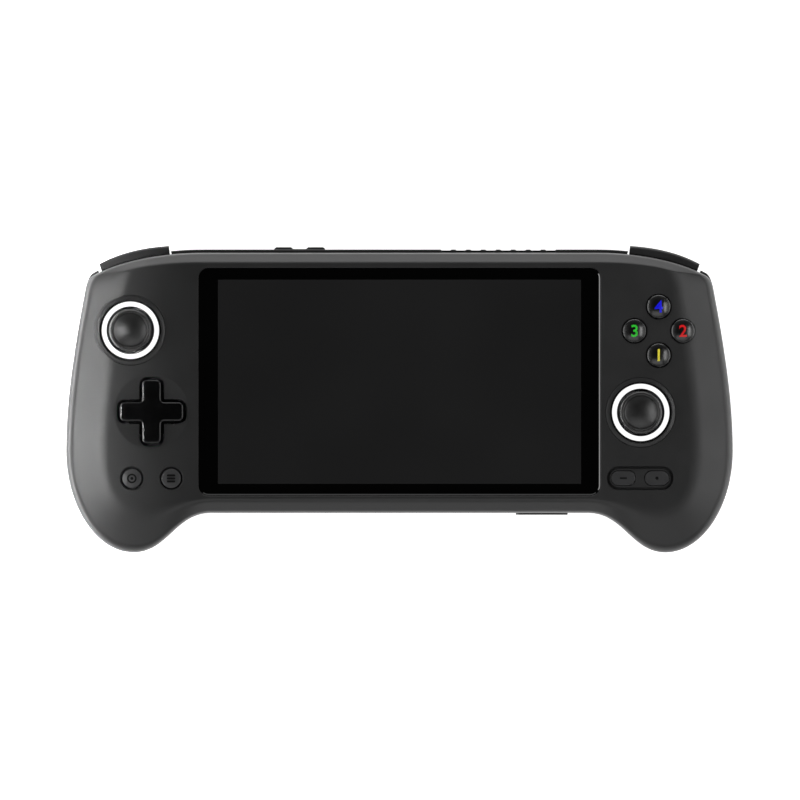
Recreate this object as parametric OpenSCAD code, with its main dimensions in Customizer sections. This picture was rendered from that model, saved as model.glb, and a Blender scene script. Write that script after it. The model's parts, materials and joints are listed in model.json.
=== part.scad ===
// Handheld game console: two case halves round a screen, with thumb sticks, a direction pad,
// buttons, shoulder bumpers and triggers. It lies on the backs of its grips with the screen up,
// +X to its right and +Y to its top edge. The origin is under its middle.

/* [Body] */
// Width across the grips
body_w = 223; // [216:1:236]
// Height from the grip ends to the bumper tops
overall_h = 102.5; // [100:0.5:108]
// Thickness from the backs of the grips to the front face
overall_t = 31; // [30:0.5:34]
// Thickness between the grips
core_t = 16; // [16:0.25:17]
// Depth of the front case half
front_depth = 8; // [8:0.25:8.5]
// Wall of both case halves
wall = 2; // [1.8:0.1:2.1]
// Drop of the grip ends below the lower edge
grip_drop = 13.2; // [11:0.2:14]
// Fall of the shoulder from the top edge to its corner
shoulder_drop = 8; // [7:0.2:9]
// Height of the bumpers above the top edge
bumper_rise = 1.5; // [1:0.1:2]
// How far the rear half stands proud of the front half along the top
rear_lip = 1.1; // [0.9:0.1:1.3]

/* [Screen] */
// Width of the lens
lens_w = 134.1; // [128:0.1:136]
// Height of the lens
lens_h = 75.8; // [72:0.1:77]
// Thickness of the lens
lens_t = 0.9; // [0.7:0.05:1]
// Width of the display panel
panel_w = 124.5; // [118:0.1:125]
// Height of the display panel
panel_h = 70.6; // [66:0.1:71]

/* [Thumb sticks] */
// Diameter of the stick caps
stick_d = 14.2; // [13:0.1:14.6]
// Height of the cap above the front face
stick_rise = 6.3; // [6:0.1:8]
// Diameter of the rim of a stick well
well_d = 24.2; // [24:0.1:25]
// Outer diameter of the light ring
ring_d = 19.6; // [19:0.1:20]
// Left stick's distance from the widest point of the left side
left_stick_side = 21.6; // [21:0.1:24]
// Left stick's height above the middle of the screen
left_stick_up = 17.2; // [15:0.1:18]
// Right stick's distance from the widest point of the right side
right_stick_side = 30.9; // [29:0.1:31.2]
// Right stick's depth below the middle of the screen
right_stick_down = 10.25; // [9:0.05:11]

/* [Buttons] */
// Length of the direction pad
pad_l = 21.3; // [20:0.1:22]
// Width of its arms
pad_arm = 6.4; // [6:0.1:7]
// Direction pad's distance from the widest point of the left side
pad_side = 28.7; // [27:0.1:30]
// Direction pad's depth below the middle of the screen
pad_down = 10; // [9.5:0.1:11]
// Diameter of the face buttons
button_d = 7.9; // [7.4:0.1:8.1]
// Distance of each face button from the middle of the four
button_spread = 8.1; // [8:0.1:8.6]
// Distance of the middle of the four from the widest point of the right side
button_side = 24.9; // [24:0.1:26]
// Height of the middle of the four above the middle of the screen
button_up = 17; // [16.5:0.1:18]
// Travel of the face buttons
button_travel = 1.2; // [0.8:0.1:1.3]
// Diameter of the two small round buttons
small_d = 7; // [6.4:0.1:7.4]
// Distance of the outer small button from the widest point of the left side
small_side = 22.1; // [21.5:0.1:23]
// Distance between the small buttons
small_pitch = 13.1; // [12.8:0.1:14]
// Depth of the small buttons below the middle of the screen
small_down = 32.3; // [31.5:0.1:32.6]
// Length of a pill button
pill_l = 8.1; // [7.6:0.1:8.4]
// Width of a pill button
pill_w = 4.8; // [4.4:0.1:5]
// Distance of the pill buttons' middle from the widest point of the right side
pill_side = 31.1; // [30.5:0.1:31.5]
// Depth of the pill buttons below the middle of the screen
pill_down = 32.2; // [31.5:0.1:32.4]
// Distance between the pill buttons
pill_pitch = 11.2; // [10.8:0.1:11.4]
// Length of the volume rocker
rocker_l = 17; // [14:0.5:18]

/* [Shoulders] */
// Height of a bumper from its underside to its top face
bumper_t = 6.4; // [6:0.1:6.6]
// How far a bumper stands out of the case's outline
bumper_out = 2.2; // [1.8:0.1:2.4]

/* [Hidden] */
$fn = 64;

case_grey = [0.18, 0.18, 0.18];
key_black = [0.07, 0.07, 0.08];
board_green = [0.05, 0.25, 0.15];
steel = [0.7, 0.7, 0.72];
rubber = [0.3, 0.3, 0.32];

// Levels
front_z = overall_t;
part_z = front_z - front_depth;
back_z = front_z - core_t;
ceiling_z = front_z - wall;
floor_z = back_z + wall;
lens_z = front_z - lens_t;
panel_z = ceiling_z;
frame_z = ceiling_z - 1;
board_top_z = front_z - 6.5;
board_z = board_top_z - 1.2;
main_z = floor_z + 5;
main_top_z = main_z + 1.2;

// Edges and middles
half_w = body_w / 2;
top_y = overall_h / 2 - bumper_rise;
top_rise = 0.35;
rear_top_y = top_y + top_rise;
front_top_y = rear_top_y - rear_lip;
grip_y = -overall_h / 2;
low_y = grip_y + grip_drop;
mid_y = (top_y + low_y) / 2;
window = [panel_w + 1.5, panel_h + 1.4];

left_stick = [left_stick_side - half_w, mid_y + left_stick_up];
right_stick = [half_w - right_stick_side, mid_y - right_stick_down];
pad = [pad_side - half_w, mid_y - pad_down];
face = [half_w - button_side, mid_y + button_up];
home_key = [small_side - half_w, mid_y - small_down];
turbo_key = home_key + [small_pitch, 0];
pill_mid = [half_w - pill_side, mid_y - pill_down];
select_key = pill_mid - [pill_pitch / 2, 0];
start_key = pill_mid + [pill_pitch / 2, 0];
face_keys = [face + [0, button_spread], face - [0, button_spread], face + [button_spread, 0],
    face - [button_spread, 0]];

// Outline of the right half as seven spans of four control points, clockwise from the top middle
corner = [half_w - 9, top_y - shoulder_drop];
front_corner_lift = -0.4;
rear_corner_lift = 0.5;
shoulder_x = half_w - 45.5;
widest_y = mid_y - 23;
grip_x = half_w - 22.5;
crotch_x = half_w - 48.5;
span_counts = [8, 12, 5, 12, 14, 12, 7];
function straight(a, b) = [a, (2 * a + b) / 3, (a + 2 * b) / 3, b];
function outline_spans(top, lift = 0) = let (foot = corner + [2.5, -4.8], peak = corner + [0, lift]) [
    straight([0, top], [shoulder_x, top]),
    [[shoulder_x, top], [shoulder_x + 16, top], peak + [-7.5, 4.2], peak],
    [peak, peak + [1.5, -0.85], foot + [-0.3, 1.7], foot],
    [foot, foot + [2.8, -15], [half_w, widest_y + 19], [half_w, widest_y]],
    [[half_w, widest_y], [half_w, widest_y - 19], [grip_x + 12, grip_y], [grip_x, grip_y]],
    [[grip_x, grip_y], [grip_x - 11.5, grip_y], [crotch_x + 12, low_y], [crotch_x, low_y]],
    straight([crotch_x, low_y], [0, low_y])];

// Edge of the flat front face, span by span beside the outline
flat_top = front_top_y - 4;
flat_low = low_y + 5.1;
flat_x = half_w - 15.3;
flat_corner = corner + [-13.6, 1.35];
flat_foot = [flat_x - 6.4, corner.y - 4.75];
flat_grip = [grip_x - 3, grip_y + 15.2];
flat_spans = [
    straight([0, flat_top], [shoulder_x, flat_top]),
    [[shoulder_x, flat_top], [shoulder_x + 16, flat_top], flat_corner + [-0.9, 0.3], flat_corner],
    [flat_corner, flat_corner + [0.2, -1.8], flat_foot + [-0.25, 1.9], flat_foot],
    [flat_foot, flat_foot + [1.9, -14], [flat_x, widest_y + 22], [flat_x, widest_y]],
    [[flat_x, widest_y], [flat_x, widest_y - 12], flat_grip + [8, 0], flat_grip],
    [flat_grip, flat_grip - [7, 0], [crotch_x + 9, flat_low], [crotch_x - 1, flat_low]],
    straight([crotch_x - 1, flat_low], [0, flat_low])];

function bezier(k, t) = let (u = 1 - t)
    u ^ 3 * k[0] + 3 * u ^ 2 * t * k[1] + 3 * u * t ^ 2 * k[2] + t ^ 3 * k[3];
function half_curve(spans) = concat(
    [for (i = [0 : len(spans) - 1], j = [0 : span_counts[i] - 1]) bezier(spans[i], j / span_counts[i])],
    [spans[len(spans) - 1][3]]);
// A closed loop, anticlockwise from the top middle, from the points of the right half
function both_sides(half) = let (n = len(half) - 1) concat(
    [for (i = [0 : n - 1]) [-half[i].x, half[i].y]],
    [for (i = [n : -1 : 1]) half[i]]);
function inset(loop, d) = let (n = len(loop)) [for (i = [0 : n - 1])
    let (t = loop[(i + 1) % n] - loop[(i + n - 1) % n]) loop[i] + d * [-t.y, t.x] / norm(t)];
function mix(a, b, s) = [for (i = [0 : len(a) - 1]) a[i] * (1 - s) + b[i] * s];
function at_level(loop, z) = [for (p = loop) [p.x, p.y, z]];

// An oval in the middle of each face, where the rings of the case halves close
oval = [58, 9];
span_turns = [0, 35, 60, 64, 92, 120, 146, 180];
oval_half = concat(
    [for (i = [0 : 6], j = [0 : span_counts[i] - 1])
        let (a = span_turns[i] + (span_turns[i + 1] - span_turns[i]) * j / span_counts[i])
        [oval.x * sin(a), mid_y + oval.y * cos(a)]],
    [[0, mid_y - oval.y]]);

front_loop = both_sides(half_curve(outline_spans(front_top_y, front_corner_lift)));
rear_loop = both_sides(half_curve(outline_spans(rear_top_y, rear_corner_lift)));
flat_loop = both_sides(half_curve(flat_spans));
oval_loop = both_sides(oval_half);

// Skin over a list of rings with equal numbers of points, closed by its first and last ring
module skin(rings) {
    n = len(rings[0]);
    m = len(rings);
    sides = [for (j = [0 : m - 2], i = [0 : n - 1]) let (a = j * n + i, b = j * n + (i + 1) % n)
        each [[a, a + n, b + n], [a, b + n, b]]];
    first = [for (i = [0 : n - 1]) i];
    last = [for (i = [n - 1 : -1 : 0]) (m - 1) * n + i];
    polyhedron([for (r = rings) each r], concat([first], sides, [last]));
}

// Front half: a crown that rises from the parting line to the flat face
lip_h = 1;
lip_t = 1;
land_z = part_z + lip_h + 0.2;
front_inner = inset(front_loop, wall);
// Crown as shares of the way in and of the rise: a round foot, a straight flank, a soft edge
flank_foot = [0, 0.55];
flank_head = [0.83, 1];
function on_flank(k) = flank_foot + (flank_head - flank_foot) * k;
function round_off(a, b, c, n) = [for (i = [0 : n]) let (t = i / n)
    (1 - t) ^ 2 * a + 2 * t * (1 - t) * b + t ^ 2 * c];
function crown(n) = concat(round_off([0, 0], flank_foot, on_flank(0.23), n),
    round_off(on_flank(0.79), flank_head, [1, 1], n));
outer_crown = crown(4);
inner_crown = crown(2);
front_rings = concat(
    [at_level(oval_loop, ceiling_z)],
    [for (i = [len(inner_crown) - 1 : -1 : 0]) let (c = inner_crown[i])
        at_level(mix(front_inner, flat_loop, c.x), land_z + (ceiling_z - land_z) * c.y)],
    [at_level(inset(front_loop, lip_t), land_z), at_level(inset(front_loop, lip_t), part_z),
        at_level(front_loop, part_z)],
    [for (c = outer_crown)
        at_level(mix(front_loop, flat_loop, c.x), land_z + (front_z - land_z) * c.y)],
    [at_level(oval_loop, front_z)]);

// Rear half: a flat back with rounded edges, and grips that swell out of it to flat pads
edge_s = 0.11;
edge_n = 2.4;
grip_s = 0.5;
grip_foot_x = 60;
grip_ridge_x = half_w - 23.5;
grip_head_y = mid_y + 38;
grip_neck_y = mid_y + 2;
grip_swell = back_z + 1.6;
function ease(a) = let (t = min(1, max(0, a))) t * t * (3 - 2 * t);
function swell(p, s) = grip_swell * sin(90 * min(1, s / grip_s))
    * ease((abs(p.x) - grip_foot_x) / (grip_ridge_x - grip_foot_x))
    * ease((grip_head_y - p.y) / (grip_head_y - grip_neck_y));
function rear_ring(loop, s, e, inward) = [for (p = mix(loop, oval_loop, s))
    let (d = min(part_z, (part_z - back_z) * e + swell(p, s)))
    [p.x, p.y, part_z - max(0, d - inward)]];
function edge_stations(step) = [for (t = [0 : step : 90])
    [edge_s * (1 - cos(t) ^ (2 / edge_n)), sin(t) ^ (2 / edge_n)]];
outer_stations = concat(edge_stations(15),
    [for (s = [0.16, 0.22, 0.29, 0.36, 0.44, 0.53, 0.64, 0.8, 1]) [s, 1]]);
inner_stations = concat(edge_stations(30), [for (s = [0.2, 0.34, 0.5, 0.7, 0.85, 1]) [s, 1]]);
rear_inner = inset(rear_loop, wall);
lip_gap = 0.1;
rear_rings = concat(
    [for (i = [len(outer_stations) - 1 : -1 : 0])
        rear_ring(rear_loop, outer_stations[i][0], outer_stations[i][1], 0)],
    [at_level(inset(front_loop, lip_t + lip_gap), part_z),
        at_level(inset(front_loop, lip_t + lip_gap), part_z + lip_h),
        at_level(front_inner, part_z + lip_h)],
    [for (i = [1 : len(inner_stations) - 1])
        rear_ring(rear_inner, inner_stations[i][0], inner_stations[i][1], wall)]);

// Small shapes
function span(at, from, to) = [at + from, at + to];
module rounded_rect(w, h, r) {
    square([w - 2 * r, h], center = true);
    square([w, h - 2 * r], center = true);
    for (x = [-1, 1], y = [-1, 1])
        translate([x * (w / 2 - r), y * (h / 2 - r)])
            circle(r);
}
// Cross with rounded ends and rounded inner corners
function arc_points(middle, r, from, to) = [for (i = [0 : 5]) let (a = from + (to - from) * i / 5)
    middle + r * [cos(a), sin(a)]];
function turned(p, a) = [p.x * cos(a) - p.y * sin(a), p.x * sin(a) + p.y * cos(a)];
function arm_points(l, w, end_r, root_r) = concat(
    arc_points([l / 2 - end_r, end_r - w / 2], end_r, -90, 0),
    arc_points([l / 2 - end_r, w / 2 - end_r], end_r, 0, 90),
    arc_points([w / 2 + root_r, w / 2 + root_r], root_r, 270, 180));
module cross(l, w, end_r, root_r, z) {
    translate([0, 0, z[0]])
        linear_extrude(z[1] - z[0])
            polygon([for (a = [0 : 90 : 270], p = arm_points(l, w, end_r, root_r)) turned(p, a)]);
}
module pill_shape(l, w) {
    square([l - w, w], center = true);
    for (x = [-1, 1])
        translate([x * (l - w) / 2, 0])
            circle(w / 2);
}
module slab(w, h, r, z) {
    translate([0, 0, z[0]])
        linear_extrude(z[1] - z[0])
            rounded_rect(w, h, r);
}
module pill(l, w, z) {
    translate([0, 0, z[0]])
        linear_extrude(z[1] - z[0])
            pill_shape(l, w);
}
module disc(r, z) {
    translate([0, 0, z[0]])
        cylinder(r = r, h = z[1] - z[0]);
}
module block(x, y, z) {
    translate([x[0], y[0], z[0]])
        cube([x[1] - x[0], y[1] - y[0], z[1] - z[0]]);
}
module on(points) {
    for (p = points)
        translate([p.x, p.y, 0])
            children();
}
// Turn a shape drawn in X and Z so that it runs along Y, from one Y to another
module along_y(x, z, y) {
    translate([x, y[1], z])
        rotate([90, 0, 0])
            linear_extrude(y[1] - y[0])
                children();
}
module left_hand() {
    mirror([1, 0, 0])
        children();
}
// Wire coil round the Z axis
module coil(r, wire, turns, h) {
    steps = 16;
    skin([for (k = [0 : turns * steps]) let (a = 360 * k / steps, z = h * k / (turns * steps))
        [for (q = [0 : 60 : 300]) let (d = r + wire / 2 * sin(q))
            [d * cos(a), d * sin(a), z + wire / 2 * cos(q)]]]);
}

// Fan, and the places that follow it
fan = [33, top_y - 30.9];
fan_size = [39, 38];
fan_r = 16;
fan_low_y = fan.y - fan_size.y / 2;

// Screws: six hold the halves together, the rest hold the boards
screw_x = lens_w / 2 - 0.55;
core_screws = [for (x = [-1, 1], y = [top_y - 5.95, low_y + 6.5]) [x * screw_x, y]];
grip_screws = [for (x = [-1, 1]) [x * (grip_x + 2), grip_y + 13.5]];
screw_seat_z = back_z + 2.2;
screw_r = 1;
screw_tip_z = front_z - 4;
column_r = 3;
grip_column_r = 2.6;
grip_column_z = 7.3;
boss_r = 2.6;
left_posts = [[left_stick.x + 17, left_stick.y + 3], [pad.x - 17.5, pad.y + 5],
    [(home_key.x + turbo_key.x) / 2, home_key.y - 4.6], [pad.x + 12.6, pad.y - 10]];
right_posts = [[face.x - 14.5, face.y + 3.5], [right_stick.x + 18.5, right_stick.y + 8],
    [pill_mid.x + 15.5, pill_mid.y + 2], [right_stick.x - 9.6, right_stick.y - 12.4]];
main_posts = [[-5, low_y + 14.9], [31, low_y + 7], [59, fan.y - 22.5], [4, top_y - 8.9]];
post_r = 1.8;
tap_r = 0.8;

// Stick levels, measured from the pivot up
pivot_drop = 9;
stick_pivot_z = front_z - pivot_drop;
cap_top = pivot_drop + stick_rise;
cap_r = stick_d / 2;
ring_r = ring_d / 2;
well_r = well_d / 2;
rim_rise = 0.18;
rim_groove = 0.15;
ring_gap = 0.4;
stem_r = 2;
run = 0.03;

// Direction pad and rubber levels
pad_pivot_z = front_z - 4.2;
pad_top_z = front_z + 1.5;
pad_gap = 1;
pad_end_r = 1.7;
sheet_z = board_top_z + 0.8;
button_foot_z = sheet_z + button_travel + 0.1;
plunger_z = front_z - 4.5;

// Ports on the lower edge, rocker and power button on the top edge
port_x = [0, 22, 47.6];
usb_size = [8.94, 3.26];
usb_z = main_z - usb_size.y / 2;
jack_z = main_z - 2.5;
jack_r = 1.8;
card_z = main_z - 0.85;
key_z = back_z + 5;
rocker_x = -33.4;
rocker_y = rear_top_y - 3.75;
power_x = -16;
vent_x = 13.9;
vent_pitch = 5;
vent_w = 3.3;

// Shoulder frame: along the chord of the bumper's stretch of the outline
shoulder_span = outline_spans(top_y)[1];
bumper_from = 0.25;
bumper_to = 0.88;
chord_a = bezier(shoulder_span, bumper_from);
chord_b = bezier(shoulder_span, bumper_to);
shoulder_mid = (chord_a + chord_b) / 2;
shoulder_turn = atan2(chord_b.y - chord_a.y, chord_b.x - chord_a.x);
shoulder_half = norm(chord_b - chord_a) / 2;
bumper_z = part_z - 0.4 - bumper_t;
bumper_pivot = [half_w - 39.5, top_y - 7.5];
bumper_deep = 4.4;
bumper_ends = [bumper_from - 0.011, bumper_to];
bumper_bulge = 0.4;
ear_z = [part_z - 4, part_z - 2];
trigger_half = shoulder_half - 1.5;
trigger_out = 1.9;
trigger_pivot = [-9.5, part_z - 5];
pin_r = 1;
cheek = [trigger_half + 0.3, trigger_half + 1.5];
opening_half = shoulder_half + 0.5;
opening_v = -13.6;
spring_u = [-6, 2];
notch_u = [-6.4, 8.6];
plate_v = [-12.8, -6.2];
plate_z = [part_z - 1.4, part_z - 0.2];

module at_shoulder() {
    translate([shoulder_mid.x, shoulder_mid.y, 0])
        rotate(shoulder_turn)
            children();
}
// Stretch of the outline between two offsets, seen from above
module shoulder_band(outside, inside, ends, bulge = 0) {
    marks = [for (i = [0 : 12]) ends[0] + (ends[1] - ends[0]) * i / 12];
    function beside(t, d) = let (p = bezier(shoulder_span, t),
        q = bezier(shoulder_span, t + 0.01) - bezier(shoulder_span, t - 0.01)) p + d * [-q.y, q.x] / norm(q);
    polygon(concat([for (i = [0 : 12]) beside(marks[i], outside + bulge * sin(15 * i))],
        [for (i = [12 : -1 : 0]) beside(marks[i], -inside)]));
}
module along_shoulder(u) {
    translate([u[0], 0, 0])
        rotate([90, 0, 90])
            linear_extrude(u[1] - u[0])
                children();
}
// Rod or bore along the trigger's pivot
module shoulder_rod(r, u) {
    translate([u[0], trigger_pivot[0], trigger_pivot[1]])
        rotate([0, 90, 0])
            cylinder(r = r, h = u[1] - u[0]);
}

// Case
// Low cone round a light ring that falls outwards to a groove in the face
module stick_rim() {
    crest_r = ring_r + 0.55;
    rotate_extrude()
        polygon([[ring_r, ceiling_z], [well_r, ceiling_z], [well_r, front_z - 1.2],
            [well_r - 0.55, front_z - rim_groove], [crest_r, front_z + rim_rise],
            [ring_r, front_z + rim_rise]]);
}
module front_case() {
    through = [part_z, front_z + 3];
    color(case_grey)
        difference() {
            union() {
                difference() {
                    skin(front_rings);
                    on([left_stick, right_stick]) {
                        disc(well_r - 0.5, [ceiling_z - 1, front_z + 1]);
                        translate([0, 0, front_z - 0.2])
                            cylinder(r1 = well_r - 0.5, r2 = well_r - 0.24, h = 0.21);
                    }
                }
                on([left_stick, right_stick])
                    stick_rim();
                on(concat(left_posts, right_posts))
                    disc(post_r, [board_top_z, front_z - 1.2]);
                on(concat(core_screws, grip_screws))
                    disc(boss_r, [part_z, front_z - 1.2]);
            }
            translate([0, mid_y, 0]) {
                slab(lens_w + 0.3, lens_h + 0.3, 3.4, [lens_z, front_z + 1]);
                slab(window.x, window.y, 1.5, [part_z, front_z]);
            }
            on([left_stick, right_stick]) {
                disc(ring_r + ring_gap, through);
                disc(ring_r + 1.8, [part_z, ceiling_z]);
            }
            on([pad]) {
                cross(pad_l + 2 * pad_gap, pad_arm + 1.8 * pad_gap, pad_end_r + pad_gap, 0.4, through);
                translate([0, 0, front_z + 92])
                    sphere(92.9);
            }
            on(face_keys) {
                disc(button_d / 2 + 0.25, through);
                disc(button_d / 2 + 1.2, [part_z, ceiling_z]);
            }
            on([home_key, turbo_key]) {
                disc(small_d / 2 + 0.25, through);
                translate([0, 0, front_z - 0.5])
                    cylinder(r1 = small_d / 2 + 0.25, r2 = small_d / 2 + 0.8, h = 0.51);
            }
            on([pill_mid])
                difference() {
                    pill(pill_pitch + pill_l + 2.8, pill_w + 3.1, [front_z - 0.8, front_z + 1]);
                    pill(pill_pitch + pill_l + 1.3, pill_w + 1.6, [front_z - 1, front_z + 2]);
                }
            on([select_key, start_key])
                pill(pill_l + 0.5, pill_w + 0.5, through);
            on(concat(left_posts, right_posts))
                disc(tap_r, [part_z, board_top_z + 2.5]);
            on(concat(core_screws, grip_screws))
                disc(screw_r, [part_z - 1, screw_tip_z + 0.2]);
        }
}
module shoulder_opening() {
    at_shoulder()
        block([-opening_half - 0.5, opening_half + 0.8], [opening_v, 20], [-1, part_z + 2]);
}
module rear_case() {
    wall_y = [low_y - 3, low_y + wall + 3.6];
    top_wall_y = [rear_top_y - wall - 1.2, rear_top_y + 3];
    color(case_grey)
        difference() {
            union() {
                skin(rear_rings);
                on(core_screws)
                    disc(column_r, [back_z + 1, part_z]);
                on(grip_screws)
                    disc(grip_column_r, [grip_column_z, part_z]);
                on(main_posts)
                    disc(post_r + 0.4, [back_z + 1, main_z]);
                along_y(port_x[2], card_z, [low_y - 0.6, low_y + 1.2])
                    pill_shape(17.4, 3.4);
            }
            on(concat(core_screws, grip_screws)) {
                disc(1.9, [-1, screw_seat_z]);
                disc(screw_r + 0.1, [0, part_z + 1]);
            }
            on(main_posts)
                disc(tap_r, [floor_z + 0.5, main_z + 1]);
            for (i = [0 : 7])
                block(span(vent_x + vent_pitch * i, 0, vent_w), top_wall_y, [back_z + 2.6, part_z + 2]);
            for (i = [-4 : 4])
                translate([fan.x, fan.y + 3.2 * i, 0])
                    pill(2 * sqrt(15 ^ 2 - (3.2 * i) ^ 2), 1.6, [back_z - 1, floor_z + 1]);
            along_y(port_x[0], usb_z, wall_y)
                pill_shape(usb_size.x + 0.6, usb_size.y + 0.6);
            along_y(port_x[1], jack_z, wall_y)
                circle(2.8);
            along_y(port_x[2], card_z, wall_y)
                pill_shape(13, 1.7);
            along_y(port_x[2], card_z, [low_y - 3, low_y])
                square([7, 2.4], center = true);
            for (x = [-1, 1], i = [0 : 4])
                along_y(x * (crotch_x - 5.4 + 2.4 * i), key_z, wall_y)
                    square([1.2, 4], center = true);
            along_y(rocker_x, key_z, top_wall_y)
                rounded_rect(rocker_l + 0.9, 3.6, 1);
            along_y(power_x, key_z, top_wall_y)
                pill_shape(7.5, 3.1);
            block([rocker_x - rocker_l / 2 - 1.5, power_x + 5], [rear_top_y - wall - 2, rear_top_y - wall],
                [key_z - 2.6, key_z + 2.6]);
            shoulder_opening();
            left_hand()
                shoulder_opening();
        }
}
module case_screws() {
    color(steel)
        on(concat(core_screws, grip_screws)) {
            difference() {
                disc(1.75, [screw_seat_z - 1.4, screw_seat_z]);
                translate([0, 0, screw_seat_z - 1.5])
                    cylinder(r = 0.8, h = 0.9, $fn = 6);
            }
            disc(screw_r - 0.02, [screw_seat_z, screw_tip_z]);
        }
}
module board_screws() {
    color(steel) {
        on(concat(left_posts, right_posts)) {
            disc(1.5, [board_z - 1, board_z]);
            disc(tap_r - 0.02, [board_z, board_top_z + 2]);
        }
        on(main_posts) {
            disc(1.5, [main_top_z, main_top_z + 1]);
            disc(tap_r - 0.02, [main_z - 3.5, main_top_z]);
        }
    }
}

// Screen
module screen_lens() {
    color([0.03, 0.03, 0.035])
        translate([0, mid_y, 0])
            slab(lens_w, lens_h, 3.3, [lens_z, front_z]);
}
module display_panel() {
    color([0.1, 0.1, 0.11])
        translate([0, mid_y, 0])
            slab(panel_w, panel_h, 1, [panel_z, lens_z]);
}
module mid_frame() {
    color(steel)
        translate([0, mid_y, frame_z])
            linear_extrude(1)
                difference() {
                    union() {
                        square([lens_w - 1.2, lens_h - 9], center = true);
                        square([lens_w - 10, top_y - low_y - 2 * (wall + 3.5)], center = true);
                    }
                    for (x = [-45, -15, 15, 45], y = [-16, 16])
                        translate([x, y])
                            rounded_rect(22, 22, 3);
                }
}

// Boards, cells and cooling
module control_board(stick, posts) {
    side = sign(stick.x);
    color(board_green)
        translate([0, 0, board_z])
            linear_extrude(board_top_z - board_z)
                difference() {
                    scale([side, 1])
                        polygon([[lens_w / 2 + 2.4, low_y + 3.9], [half_w - 19, low_y + 3.9],
                            [half_w - 11, low_y + 13.9], [half_w - 9.5, mid_y + 5],
                            [half_w - 11.5, top_y - 16.9], [half_w - 15.5, top_y - 12.9],
                            [lens_w / 2 + 2.4, top_y - 12.9]]);
                    on([stick])
                        square(15.6, center = true);
                    on(posts)
                        circle(tap_r + 0.1);
                }
}
module left_board() {
    control_board(left_stick, left_posts);
}
module right_board() {
    control_board(right_stick, right_posts);
}
module main_board() {
    color(board_green)
        translate([0, 0, main_z])
            linear_extrude(main_top_z - main_z)
                difference() {
                    union() {
                        translate([-8, low_y + wall + 0.85])
                            square([70.5, fan_low_y - low_y - wall - 0.85]);
                        translate([-8, fan_low_y - 4])
                            square([18.5, top_y - fan_low_y - 1.9]);
                    }
                    on(main_posts)
                        circle(tap_r + 0.1);
                }
}
chip = [fan.x, fan.y - 32];
chip_top_z = main_top_z + 1.4;
module main_chips() {
    color(key_black) {
        translate([chip.x, chip.y, 0])
            slab(16, 16, 0.5, [main_top_z, chip_top_z]);
        for (p = [[12, chip.y + 1, 12], [52, chip.y - 1, 8], [1, fan.y - 3, 9], [1, fan.y - 18, 7]])
            translate([p.x, p.y, 0])
                slab(p[2], p[2] - 2, 0.3, [main_top_z, main_top_z + 1]);
    }
}
battery_x = [column_r + 1.5 - screw_x, -11.5];
battery_y = [low_y + 6.9, top_y - 14.9];
module battery() {
    color([0.15, 0.15, 0.17])
        translate([(battery_x[0] + battery_x[1]) / 2, (battery_y[0] + battery_y[1]) / 2, 0])
            slab(battery_x[1] - battery_x[0], battery_y[1] - battery_y[0], 2, [floor_z, floor_z + 9.6]);
}
module heat_sink() {
    pipe_z = [chip_top_z, chip_top_z + 1.8];
    fin_y = [top_y - 11.2, top_y - 4.7];
    color([0.72, 0.45, 0.3]) {
        translate([chip.x, chip.y, 0])
            slab(20, 20, 1, pipe_z);
        block([chip.x + 9, 60], span(chip.y, -3, 3), pipe_z);
        block([54, 60], [chip.y - 3, fin_y[1]], pipe_z);
        block([vent_x, 60], fin_y, pipe_z);
        for (i = [0 : 15])
            block(span(vent_x + vent_pitch / 2 * i, 0, 0.6), fin_y, [floor_z + 0.4, pipe_z[0] + 0.2]);
    }
}
module fan_housing() {
    z = [floor_z, floor_z + 7.2];
    color(key_black)
        translate([fan.x, fan.y, 0]) {
            difference() {
                slab(fan_size.x, fan_size.y, 3, z);
                disc(fan_r, z + [0.8, -0.8]);
                block([-fan_r, fan_r], [0, fan_size.y], z + [0.8, -0.8]);
                difference() {
                    disc(13, z - [1, 6]);
                    for (a = [90, 210, 330])
                        rotate(a)
                            block([0, 14], [-1.2, 1.2], z - [2, 5]);
                    disc(4, z - [2, 5]);
                }
                disc(11, [z[1] - 2, z[1] + 1]);
            }
            disc(1, [z[0] + 0.4, z[0] + 5.4]);
        }
}
module fan_rotor() {
    z = [floor_z + 1.3, floor_z + 6];
    color([0.1, 0.1, 0.1])
        translate([fan.x, fan.y, 0])
            difference() {
                union() {
                    disc(6.5, z);
                    for (i = [0 : 10])
                        rotate(360 / 11 * i)
                            translate([5.5, 0, 0])
                                rotate(25)
                                    block([0, 9.6], [-0.4, 0.4], z + [0.2, -0.4]);
                }
                disc(1.05, [z[0] - 1, z[0] + 4.4]);
            }
}
module speaker(side) {
    color(key_black)
        translate([side * (lens_w / 2 + 8.3), low_y + 11.9, 0]) {
            slab(11, 15, 1, [board_z - 5, board_z]);
            slab(8, 12, 3, [board_z - 5.6, board_z - 5]);
        }
}
module left_speaker() {
    speaker(-1);
}
module right_speaker() {
    speaker(1);
}
module usb_c_port() {
    y = [low_y + 0.3, low_y + 7.8];
    color(steel) {
        difference() {
            along_y(port_x[0], usb_z, y)
                pill_shape(usb_size.x, usb_size.y);
            along_y(port_x[0], usb_z, y - [1, 1])
                pill_shape(usb_size.x - 0.6, usb_size.y - 0.6);
        }
        along_y(port_x[0], usb_z, y + [1.4, 0])
            square([6.7, 0.7], center = true);
    }
}
module audio_jack() {
    y = [low_y + wall + 0.5, low_y + wall + 13.9];
    color(key_black)
        difference() {
            union() {
                along_y(port_x[1], jack_z, y)
                    circle(2.4);
                along_y(port_x[1], jack_z, y + [5.9, 0])
                    square([6.6, 5], center = true);
            }
            along_y(port_x[1], jack_z, [y[0] - 1, y[0] + 12])
                circle(jack_r);
        }
}
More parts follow.
